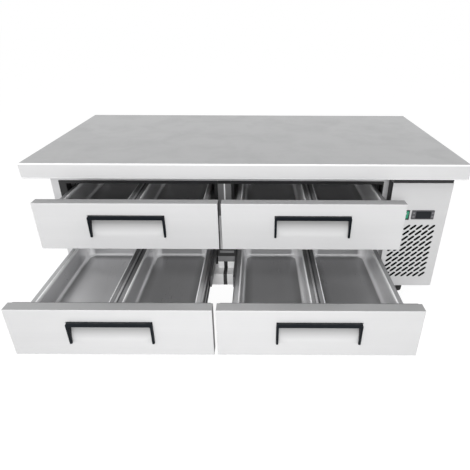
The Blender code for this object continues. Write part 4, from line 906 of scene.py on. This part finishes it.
def make_drawer_frame(level, side):
    """Folded sheet frame that the pans hang in, with a ribbed gutter and a channelled bar on each side."""
    name = f"{level}_{side}_drawer_frame"
    low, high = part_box(name)
    middle_x = (low.x + high.x) / 2
    top_z = high.z - FRAME_SHEET
    cell_front, cell_back = low.y + CELL_FRONT_INSET, high.y - CELL_BACK_INSET
    bar_y = (low.y + BAR_FRONT_INSET, high.y - BAR_BACK_INSET)
    bar_foot, bar_top = low.z + BAR_FOOT, low.z + BAR_FOOT + BAR_HEIGHT
    shape, _, _ = new_shape()

    def block(x_ends, y_ends, z_ends, finish=0):
        left, right = sorted(middle_x + x for x in x_ends)
        add_block(shape, (left, y_ends[0], z_ends[0]), (right, y_ends[1], z_ends[1]), finish=finish)

    whole = (low.y, high.y)
    for sign in (-1, 1):
        plate_x = sign * SIDE_PLATE_X
        block((sign * CELL_EDGE_X, plate_x), whole, (top_z, high.z))
        block((plate_x - sign * FRAME_SHEET, plate_x), whole, (low.z, top_z))
        block((plate_x, plate_x + sign * BAR_WEB), bar_y, (bar_foot + BAR_LIP, bar_top - BAR_LIP), 1)
        block((plate_x, sign * SLIDE_INNER_X), bar_y, (bar_foot, bar_foot + BAR_LIP), 1)
        block((plate_x, sign * SLIDE_INNER_X), bar_y, (bar_top - BAR_LIP, bar_top), 1)
    across = (-CELL_EDGE_X, CELL_EDGE_X)
    block(across, (low.y, cell_front), (top_z, high.z))
    block(across, (cell_back, high.y), (top_z, high.z))
    block(across, (low.y, low.y + FRAME_SHEET), (low.z, top_z))
    block(across, (high.y - FRAME_SHEET, high.y), (low.z, top_z))
    block((-GUTTER_HALF, GUTTER_HALF), (cell_front, cell_back), (top_z, high.z), 2)
    block((RIB_LEFT_X, RIB_RIGHT_X), (cell_front, cell_back), (high.z, high.z + RIB_HEIGHT), 3)
    block((-FRAME_SHEET / 2, FRAME_SHEET / 2), (low.y + FRAME_SHEET, high.y - FRAME_SHEET),
          (high.z - GUTTER_WEB_DROP, top_z))
    finish_piece(f"{name}_sheet", shape, ["drawer_steel", "zinc_steel", "shadow_steel", "rib_steel"],
                 f"{level}_{side}_drawer", "drawer_stainless", name)


def frame_face_y():
    """Where the front frame's face stands, behind the closed drawer fronts."""
    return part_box("front_frame")[1].y - FRAME_DEPTH


def make_breaker(level, side):
    """Black strip that lines an opening and laps over the front frame's face."""
    front_low, front_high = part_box(f"{level}_{side}_front")
    if side == "left":
        left_x = front_low.x + OPENING_SIDE_INSET
    else:
        left_x = front_high.x - OPENING_SIDE_INSET - OPENING_WIDTH
    foot_z = front_low.z + OPENING_ABOVE_FRONT_FOOT
    face_y = frame_face_y()
    proud_y = face_y - BREAKER_PROUD
    left_flange = BREAKER_LEFT_STILE_FLANGE if side == "left" else BREAKER_FLANGE
    right_flange = BREAKER_RIGHT_STILE_FLANGE if side == "right" else BREAKER_FLANGE
    whole_flange = ((face_y, 0.0), (proud_y + BLOCK_EDGE / 2, 0.0), (proud_y, -BLOCK_EDGE))
    no_flange = ((proud_y, BREAKER_LINING), (proud_y + BLOCK_EDGE, -BREAKER_LINING),
                 (face_y + FRAME_DEPTH, -BREAKER_LINING), (face_y + FRAME_DEPTH, 0.0), (face_y, 0.0))
    shape, _, _ = new_shape()
    loops = []
    for share, sections in ((1.0, whole_flange), (0.0, no_flange)):
        for y, grow in sections:
            rise = BREAKER_FLANGE * share + grow
            corner = BREAKER_CORNER + max(rise, 0.0) * BREAKER_CORNER_SHARE
            outline = rectangle_loop(left_x - left_flange * share - grow,
                                     left_x + OPENING_WIDTH + right_flange * share + grow,
                                     foot_z - rise, foot_z + OPENING_HEIGHT + rise, corner, FEW_STEPS)
            loops.append([upright_place(u, v, y) for u, v in outline])
    loft(shape, loops, closed=True)
    finish_piece(f"{level}_{side}_breaker_strip", shape, ["breaker_plastic"], "root", "black_plastic")


def on_mullion(left, right):
    """Ends in X of what lies on the mullion, left and right of its middle, halfway between the fronts."""
    middle_x = (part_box("lower_left_front")[1].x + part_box("lower_right_front")[0].x) / 2
    return middle_x - left, middle_x + right


def upper_opening_ends():
    """Foot and top of the upper openings."""
    foot_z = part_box("upper_left_front")[0].z + OPENING_ABOVE_FRONT_FOOT
    return foot_z, foot_z + OPENING_HEIGHT


def sill_top():
    """Top of the sill under the lower openings."""
    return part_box("front_frame")[0].z + SILL_HEIGHT


def add_plate(shape, x_ends, z_ends, proud, finish=0):
    """A thin plate on the front frame's face."""
    face_y = frame_face_y()
    add_block(shape, (x_ends[0], face_y - proud, z_ends[0]), (x_ends[1], face_y + SEAT, z_ends[1]),
              BLOCK_EDGE / 2, finish)


def make_mullion_bracket():
    """Bracket across the mullion, between the openings: black bar on top, box and lower bar in grey painted
    shade.
    """
    mullion = on_mullion(MULLION_HALF, MULLION_HALF)
    shape, _, _ = new_shape()
    add_plate(shape, mullion, (BRACKET_BAR_TOP_Z, BRACKET_TOP_Z), TRIM_PROUD)
    add_plate(shape, on_mullion(BRACKET_BOX_LEFT, BRACKET_BOX_RIGHT),
              (BRACKET_BOX_FOOT_Z, BRACKET_BOX_TOP_Z), TRIM_PROUD + SEAT, 1)
    add_plate(shape, mullion, (BRACKET_FOOT_Z, BRACKET_BAR_TOP_Z), TRIM_PROUD, 1)
    finish_piece("mullion_bracket", shape, ["breaker_plastic", "mullion_painted_shade_steel"], "root", "black_plastic")


def make_sill_cap():
    """Cap over the sill, and the mullion's foot above it, pale: painted light where they sit in shade
    between the drawers.
    """
    low, top_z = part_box("front_frame")[0], sill_top()
    right_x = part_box("lower_right_front")[1].x
    shape, _, _ = new_shape()
    add_plate(shape, on_mullion(MULLION_HALF, MULLION_HALF), (top_z, BRACKET_FOOT_Z), TRIM_PROUD)
    add_block(shape, (low.x, low.y - SHEET, top_z), (right_x, frame_face_y(), top_z + SHEET), BLOCK_EDGE / 2)
    add_block(shape, (low.x, low.y - SHEET, low.z), (right_x, low.y, top_z), BLOCK_EDGE / 2)
    finish_piece("sill_cap", shape, ["painted_light_steel"], "root", "brushed_stainless")


def make_mullion_strip():
    """Black strip down the mullion's foot, over the sill and down its face."""
    low, top_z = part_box("front_frame")[0], sill_top()
    strip = on_mullion(STRIP_LEFT, STRIP_RIGHT)
    proud_y = low.y - SHEET - SEAT
    shape, _, _ = new_shape()
    add_plate(shape, strip, (top_z, BRACKET_FOOT_Z), TRIM_PROUD + SEAT)
    add_block(shape, (strip[0], proud_y, top_z + SHEET), (strip[1], frame_face_y(), top_z + SHEET + SEAT), 0)
    add_block(shape, (strip[0], proud_y, low.z), (strip[1], low.y - SHEET, top_z + SHEET), 0)
    finish_piece("mullion_strip", shape, ["breaker_plastic"], "root", "black_plastic")


def make_mullion_seam():
    """Seam up the middle of the mullion, between the upper openings, pale: a painted highlight line."""
    shape, _, _ = new_shape()
    add_plate(shape, on_mullion(SEAM_WIDTH / 2, SEAM_WIDTH / 2), upper_opening_ends(), TRIM_PROUD)
    finish_piece("mullion_seam", shape, ["painted_light_steel"], "root", "brushed_stainless")


def make_mullion_cover():
    """Cover between the breaker strips of the upper openings, in grey painted shade, black over its top."""
    cover = on_mullion(MULLION_HALF - BREAKER_FLANGE, MULLION_HALF - BREAKER_FLANGE)
    foot_z, top_z = upper_opening_ends()
    shape, _, _ = new_shape()
    add_plate(shape, cover, (foot_z, top_z), BREAKER_PROUD, 1)
    add_plate(shape, cover, (top_z, top_z + BREAKER_FLANGE), BREAKER_PROUD)
    finish_piece("mullion_cover", shape, ["breaker_plastic", "mullion_painted_shade_steel"], "root", "black_plastic")


def behind_panel():
    """Where the back of the louvred panel's sheet is, with room for a seat."""
    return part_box("louvre_panel")[0].y + PANEL_SHEET + SEAT


def make_panel_gap_shadows():
    """Black strip at the left edge of the louvred panel, and a black plate over its top: painted shadow in
    the gaps there.
    """
    low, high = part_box("louvre_panel")
    plate_y = behind_panel() + SHEET
    shape, _, _ = new_shape()
    add_block(shape, (low.x - SHEET, low.y + SHEET, upper_opening_ends()[0]),
              (low.x + SEAT, frame_face_y() - SEAT, high.z), SEAT)
    add_block(shape, (low.x + FRAME_SHEET, plate_y, high.z + SEAT),
              (high.x - SHEET, plate_y + SHEET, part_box("front_frame")[1].z - SEAT), 0)
    finish_piece("panel_gap_shadows", shape, ["breaker_plastic"], "root", "black_plastic")


def make_louvre_filter():
    """Dark foam filter behind the slots of the louvred panel, its black also painted shade in the slots."""
    low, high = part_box("louvre_panel")
    shape, _, _ = new_shape()
    add_block(shape, (low.x + FILTER_INSET, behind_panel(), low.z + FILTER_INSET),
              (high.x - FILTER_INSET, behind_panel() + SHEET, low.z + FILTER_HEIGHT), SEAT)
    finish_piece("louvre_filter", shape, ["black_foam_and_shade"], "root", "black_plastic")


def front_outlines(name):
    """Outlines, as lists of (x, z), of the holes in a node's front face."""
    node, face_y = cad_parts[name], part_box(name)[0].y
    shape = bmesh.new()
    shape.from_mesh(node.data)
    bmesh.ops.remove_doubles(shape, verts=shape.verts, dist=SEAT / 3)
    after = {}
    for edge in shape.edges:
        turned = {face.normal.y < -FACING_SHARE for face in edge.link_faces}
        if len(turned) == 2 and all(vert.co.y < face_y + SEAT for vert in edge.verts):
            for vert in edge.verts:
                after.setdefault(vert, []).append(edge.other_vert(vert))
    outlines = []
    while after:
        vert = next(iter(after))
        outline = []
        while vert in after:
            outline.append((vert.co.x, vert.co.z))
            vert = next((other for other in after.pop(vert) if other in after), None)
        outlines.append(outline)
    shape.free()
    return outlines


def grown(outline, distance):
    """The outline moved outward all round by a distance."""
    following = outline[1:] + outline[:1]
    area = sum(a[0] * b[1] - b[0] * a[1] for a, b in zip(outline, following))
    points = []
    for before, here, after in zip(outline[-1:] + outline[:-1], outline, following):
        normals = []
        for start, end in ((before, here), (here, after)):
            along = Vector((end[0] - start[0], end[1] - start[1])).normalized()
            normals.append(Vector((along.y, -along.x)) * math.copysign(1, area))
        bisector = (normals[0] + normals[1]) / (1 + normals[0].dot(normals[1]))
        points.append((here[0] + bisector.x * distance, here[1] + bisector.y * distance))
    return points


def make_slot_painted_shadows():
    """Black lining in each slot of the louvred panel, with a narrow lip on its face: painted shade in the
    slots.
    """
    face_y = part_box("louvre_panel")[0].y
    shape, _, _ = new_shape()
    for outline in front_outlines("louvre_panel"):
        if len(outline) != SLOT_POINTS:
            continue
        wide, narrow = grown(outline, SLOT_SHADOW_LIP), grown(outline, -SLOT_SHADOW_LIP / 2)
        loops = [[upright_place(u, v, y) for u, v in points] for points, y in
                 ((wide, face_y + SEAT / 3), (wide, face_y - SEAT), (narrow, face_y - SEAT),
                  (narrow, face_y + PANEL_SHEET))]
        loft(shape, loops, closed=True)
    finish_piece("louvre_slot_painted_shadows", shape, ["black_foam_and_shade"], "root", "black_plastic")


def make_controller():
    """Controller: a bezel with a dark window, a lighter key field at each end and plain marks on it."""
    low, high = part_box("controller")
    plate_back, body_inset = low.y + CONTROLLER_PROUD, CONTROLLER_BODY_INSET
    window_left, window_right = low.x + WINDOW_LEFT_INSET, high.x - WINDOW_RIGHT_INSET
    middle_z = (low.z + high.z) / 2
    shape, _, _ = new_shape()
    loops = [upright_loop(low, high, inset, y, CONTROLLER_CORNER) for inset, y in
             ((0.0, plate_back), (0.0, low.y + 2 * BLOCK_EDGE), (BLOCK_EDGE, low.y + BLOCK_EDGE))]
    loft(shape, loops, cap_first=True, cap_last=True)
    add_block(shape, (low.x + body_inset, plate_back, low.z + body_inset),
              (high.x - body_inset, high.y, high.z - body_inset))
    add_block(shape, (window_left, low.y, low.z + WINDOW_TOP_INSET),
              (window_right, plate_back, high.z - WINDOW_TOP_INSET), finish=1)
    for x in (low.x + WINDOW_LEFT_INSET / 2, high.x - WINDOW_RIGHT_INSET / 2):
        for z in (middle_z - KEY_RISE, middle_z + KEY_RISE):
            add_block(shape, (x - KEY_HALF, low.y + BLOCK_EDGE / 2, z - KEY_HALF),
                      (x + KEY_HALF, plate_back, z + KEY_HALF), BLOCK_EDGE / 2, finish=2)
            add_block(shape, (x - MARK_HALF, low.y + SEAT / 2, z - SEAT),
                      (x + MARK_HALF, low.y + BLOCK_EDGE, z + SEAT), 0, finish=3)
    finish_piece("controller_bezel", shape,
                 ["controller_case", "controller_window", "controller_key", "mark_print"],
                 "root", "dark_controller", "controller")


def surface_y(name, x, z):
    """Where a node's front surface is met, going in from the front at x and z."""
    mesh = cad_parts[name].data
    faces = [face.vertices for face in mesh.polygons]
    tree = BVHTree.FromPolygons([vert.co for vert in mesh.vertices], faces)
    start = Vector((x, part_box(name)[0].y - FRAME_DEPTH, z))
    return tree.ray_cast(start, Vector((0, 1, 0)))[0].y


def make_switch_mark():
    """Small pale stroke printed on the upper half of the rocker."""
    low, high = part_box("switch_rocker")
    x = (low.x + high.x) / 2
    foot_z = low.z + (high.z - low.z) * SWITCH_MARK_SHARE
    top_z = foot_z + SWITCH_MARK_HEIGHT
    shape, _, _ = new_shape()
    loops = []
    for z in (foot_z, top_z):
        y = surface_y("switch_rocker", x, z)
        loops.append([Vector((x + side * MARK_HALF / 2, y + depth, z)) for side, depth in
                      ((-1, SEAT), (1, SEAT), (1, -SEAT / 3), (-1, -SEAT / 3))])
    loft(shape, loops, cap_first=True, cap_last=True)
    finish_piece("switch_mark", shape, ["mark_print"], "switch_rocker", "green_switch")


def make_wheel(corner):
    """Caster wheel: a tyre with a rounded tread on a dished hub."""
    name = f"{corner}_caster_wheel"
    low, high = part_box(name)
    middle = (low + high) / 2
    shape, _, _ = new_shape()
    loft(shape, turned_loops(middle, mirrored(TYRE_HALF)), closed=True)
    loft(shape, turned_loops(middle, mirrored(HUB_HALF)), cap_first=True, cap_last=True, finish=1)
    finish_piece(f"{name}_tyre", shape, ["tyre_rubber", "hub_plastic"], f"{corner}_wheel", "black_rubber",
                 name)


def make_screws():
    """Screw heads that hold the machine cover's side."""
    low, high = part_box("machine_cover")
    shape, _, _ = new_shape()
    for z in (low.z + SCREW_INSET, (low.z + high.z) / 2, high.z - SCREW_INSET):
        for y in (low.y + SCREW_INSET, high.y - SCREW_INSET):
            loops = turned_loops((high.x, y, z), SCREW_PROFILE, SCREW_SEGMENTS)
            loft(shape, loops, cap_first=True, cap_last=True)
    finish_piece("cover_screws", shape, ["rib_steel"], "root", "brushed_stainless")


def make_gasket(level, side):
    """Door gasket: a bellows with a soft outer lip, bent round the back of the front."""
    name = f"{level}_{side}_gasket"
    low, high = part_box(name)
    shape = bmesh.new()
    loops = []
    for across, out in GASKET_SECTION_SHARES:
        inset, y = across * GASKET_WIDTH, low.y + out * (high.y - low.y)
        radius = max(GASKET_CORNER - inset, GASKET_LEAST_CORNER)
        loops.append(upright_loop(low, high, inset, y, radius, FEW_STEPS))
    loft(shape, loops, closed=True)
    finish_piece(f"{name}_bellows", shape, ["gasket_rubber"], f"{level}_{side}_drawer", "grey_gasket", name)


NODE_FINISHES = {
    "front_frame": "body_steel", "left_wall": "body_steel", "back_wall": "liner_steel",
    "bulkhead": "liner_steel", "floor_panel": "liner_steel", "louvre_panel": "front_steel",
    "machine_cover": "body_steel", "cord_gland": "breaker_plastic", "controller": "controller_case",
    "switch_housing": "breaker_plastic", "switch_rocker": "switch_green", "condenser": "coil_fins",
    "evaporator": "coil_fins", "compressor": "painted_steel", "condenser_fan": "breaker_plastic",
    "evaporator_fan": "breaker_plastic"}
NODE_ENDING_FINISHES = {"_rack": "zinc_steel", "_slide": "zinc_steel", "_drawer_frame": "drawer_steel",
                        "_fork": "painted_steel", "_wheel": "tyre_rubber"}


def dress_nodes():
    """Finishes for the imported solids, by name or by how the name ends."""
    for name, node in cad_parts.items():
        finish = NODE_FINISHES.get(name)
        for ending, ending_finish in NODE_ENDING_FINISHES.items():
            if name.endswith(ending):
                finish = ending_finish
        if finish:
            node.data.materials.clear()
            node.data.materials.append(FINISHES[finish])


def set_camera():
    """The photograph's camera, placed from the middle of the worktop's front edge."""
    low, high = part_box("worktop")
    edge = Vector(((low.x + high.x) / 2, low.y, high.z))
    lens = bpy.data.cameras.new("photo_camera")
    lens.sensor_width = SENSOR_WIDTH
    lens.lens = LENS_PIXELS / PHOTO_SIDE * SENSOR_WIDTH
    lens.shift_x = -(LENS_MIDDLE_U - PHOTO_SIDE / 2) / PHOTO_SIDE
    camera = bpy.data.objects.new("photo_camera", lens)
    bpy.context.scene.collection.objects.link(camera)
    tilt = Matrix.Rotation(math.pi / 2 - CAMERA_DOWN, 4, "X")
    roll = Matrix.Rotation(CAMERA_ROLL, 4, "Z")
    camera.matrix_world = Matrix.Translation(edge + CAMERA_FROM_EDGE) @ tilt @ roll
    bpy.context.scene.camera = camera


def seen_or_mirrored(tree):
    """One for camera, glossy and transmission rays."""
    path = tree.nodes.new("ShaderNodeLightPath").outputs
    mirrored = math_node(tree, "MAXIMUM", path["Is Glossy Ray"], path["Is Transmission Ray"])
    return math_node(tree, "MAXIMUM", path["Is Camera Ray"], mirrored)


def build_world():
    """Even light all round, and white where the world is seen or mirrored."""
    world = bpy.data.worlds.new("studio")
    bpy.context.scene.world = world
    world.use_nodes = True
    tree = world.node_tree
    ground = tree.nodes["Background"]
    ground.inputs["Color"].default_value = WHITE
    strength = spread(tree, seen_or_mirrored(tree), (0.0, 1.0), (WORLD_DIFFUSE, 1.0))
    connect(tree, ground.inputs["Strength"], strength)


def build_floor():
    """Pale floor, white where it is seen or mirrored, that keeps the object's shadow."""
    shape = bmesh.new()
    shape.faces.new([shape.verts.new((x * FLOOR_REACH, y * FLOOR_REACH, 0))
                     for x, y in ((-1, -1), (1, -1), (1, 1), (-1, 1))])
    mesh = bpy.data.meshes.new("studio_floor")
    shape.to_mesh(mesh)
    shape.free()
    floor = bpy.data.objects.new("studio_floor", mesh)
    bpy.context.scene.collection.objects.link(floor)
    material = bpy.data.materials.new("studio_floor")
    material.use_nodes = True
    tree = material.node_tree
    shader = tree.nodes["Principled BSDF"]
    shader.inputs["Base Color"].default_value = FLOOR_COLOUR
    shader.inputs["Roughness"].default_value = 1.0
    shader.inputs["Specular IOR Level"].default_value = 0.0
    glow_share = 1 - FLOOR_SHADOW_SHARE
    glow = add_node(tree, "ShaderNodeEmission", Color=WHITE, Strength=FLOOR_GLOW / glow_share)
    share = math_node(tree, "MULTIPLY", seen_or_mirrored(tree), glow_share)
    blend = add_node(tree, "ShaderNodeMixShader", _0=share)
    tree.links.new(shader.outputs[0], blend.inputs[1])
    tree.links.new(glow.outputs[0], blend.inputs[2])
    tree.links.new(blend.outputs[0], tree.nodes["Material Output"].inputs["Surface"])
    mesh.materials.append(material)


def add_softbox(name, place, target, size, watts, seen_in_steel):
    """A lamp with a rectangular face, turned to its target."""
    lamp = bpy.data.lights.new(name, "AREA")
    lamp.shape = "RECTANGLE"
    lamp.size, lamp.size_y = size
    lamp.energy = watts
    box = bpy.data.objects.new(name, lamp)
    bpy.context.scene.collection.objects.link(box)
    turn = (Vector(target) - Vector(place)).to_track_quat("-Z", "Y")
    box.matrix_world = Matrix.Translation(place) @ turn.to_matrix().to_4x4()
    box.visible_glossy = seen_in_steel


def build_studio():
    """World, floor and softboxes."""
    build_world()
    build_floor()
    for name, softbox in SOFTBOXES.items():
        add_softbox(name, *softbox)
    bpy.context.scene.view_settings.view_transform = "Standard"


make_worktop()
for level, side in DRAWERS:
    make_front(level, side)
    make_handle(level, side)
    make_gasket(level, side)
    make_drawer_frame(level, side)
    make_breaker(level, side)
    for place in ("left", "right"):
        make_pan(level, side, place)
for make_piece in (make_mullion_bracket, make_sill_cap, make_mullion_strip, make_mullion_seam,
                   make_mullion_cover, make_panel_gap_shadows, make_louvre_filter, make_slot_painted_shadows,
                   make_controller, make_switch_mark, make_screws):
    make_piece()
for corner in ("front_left", "front_right", "back_left", "back_right"):
    make_wheel(corner)
dress_nodes()
set_camera()
build_studio()
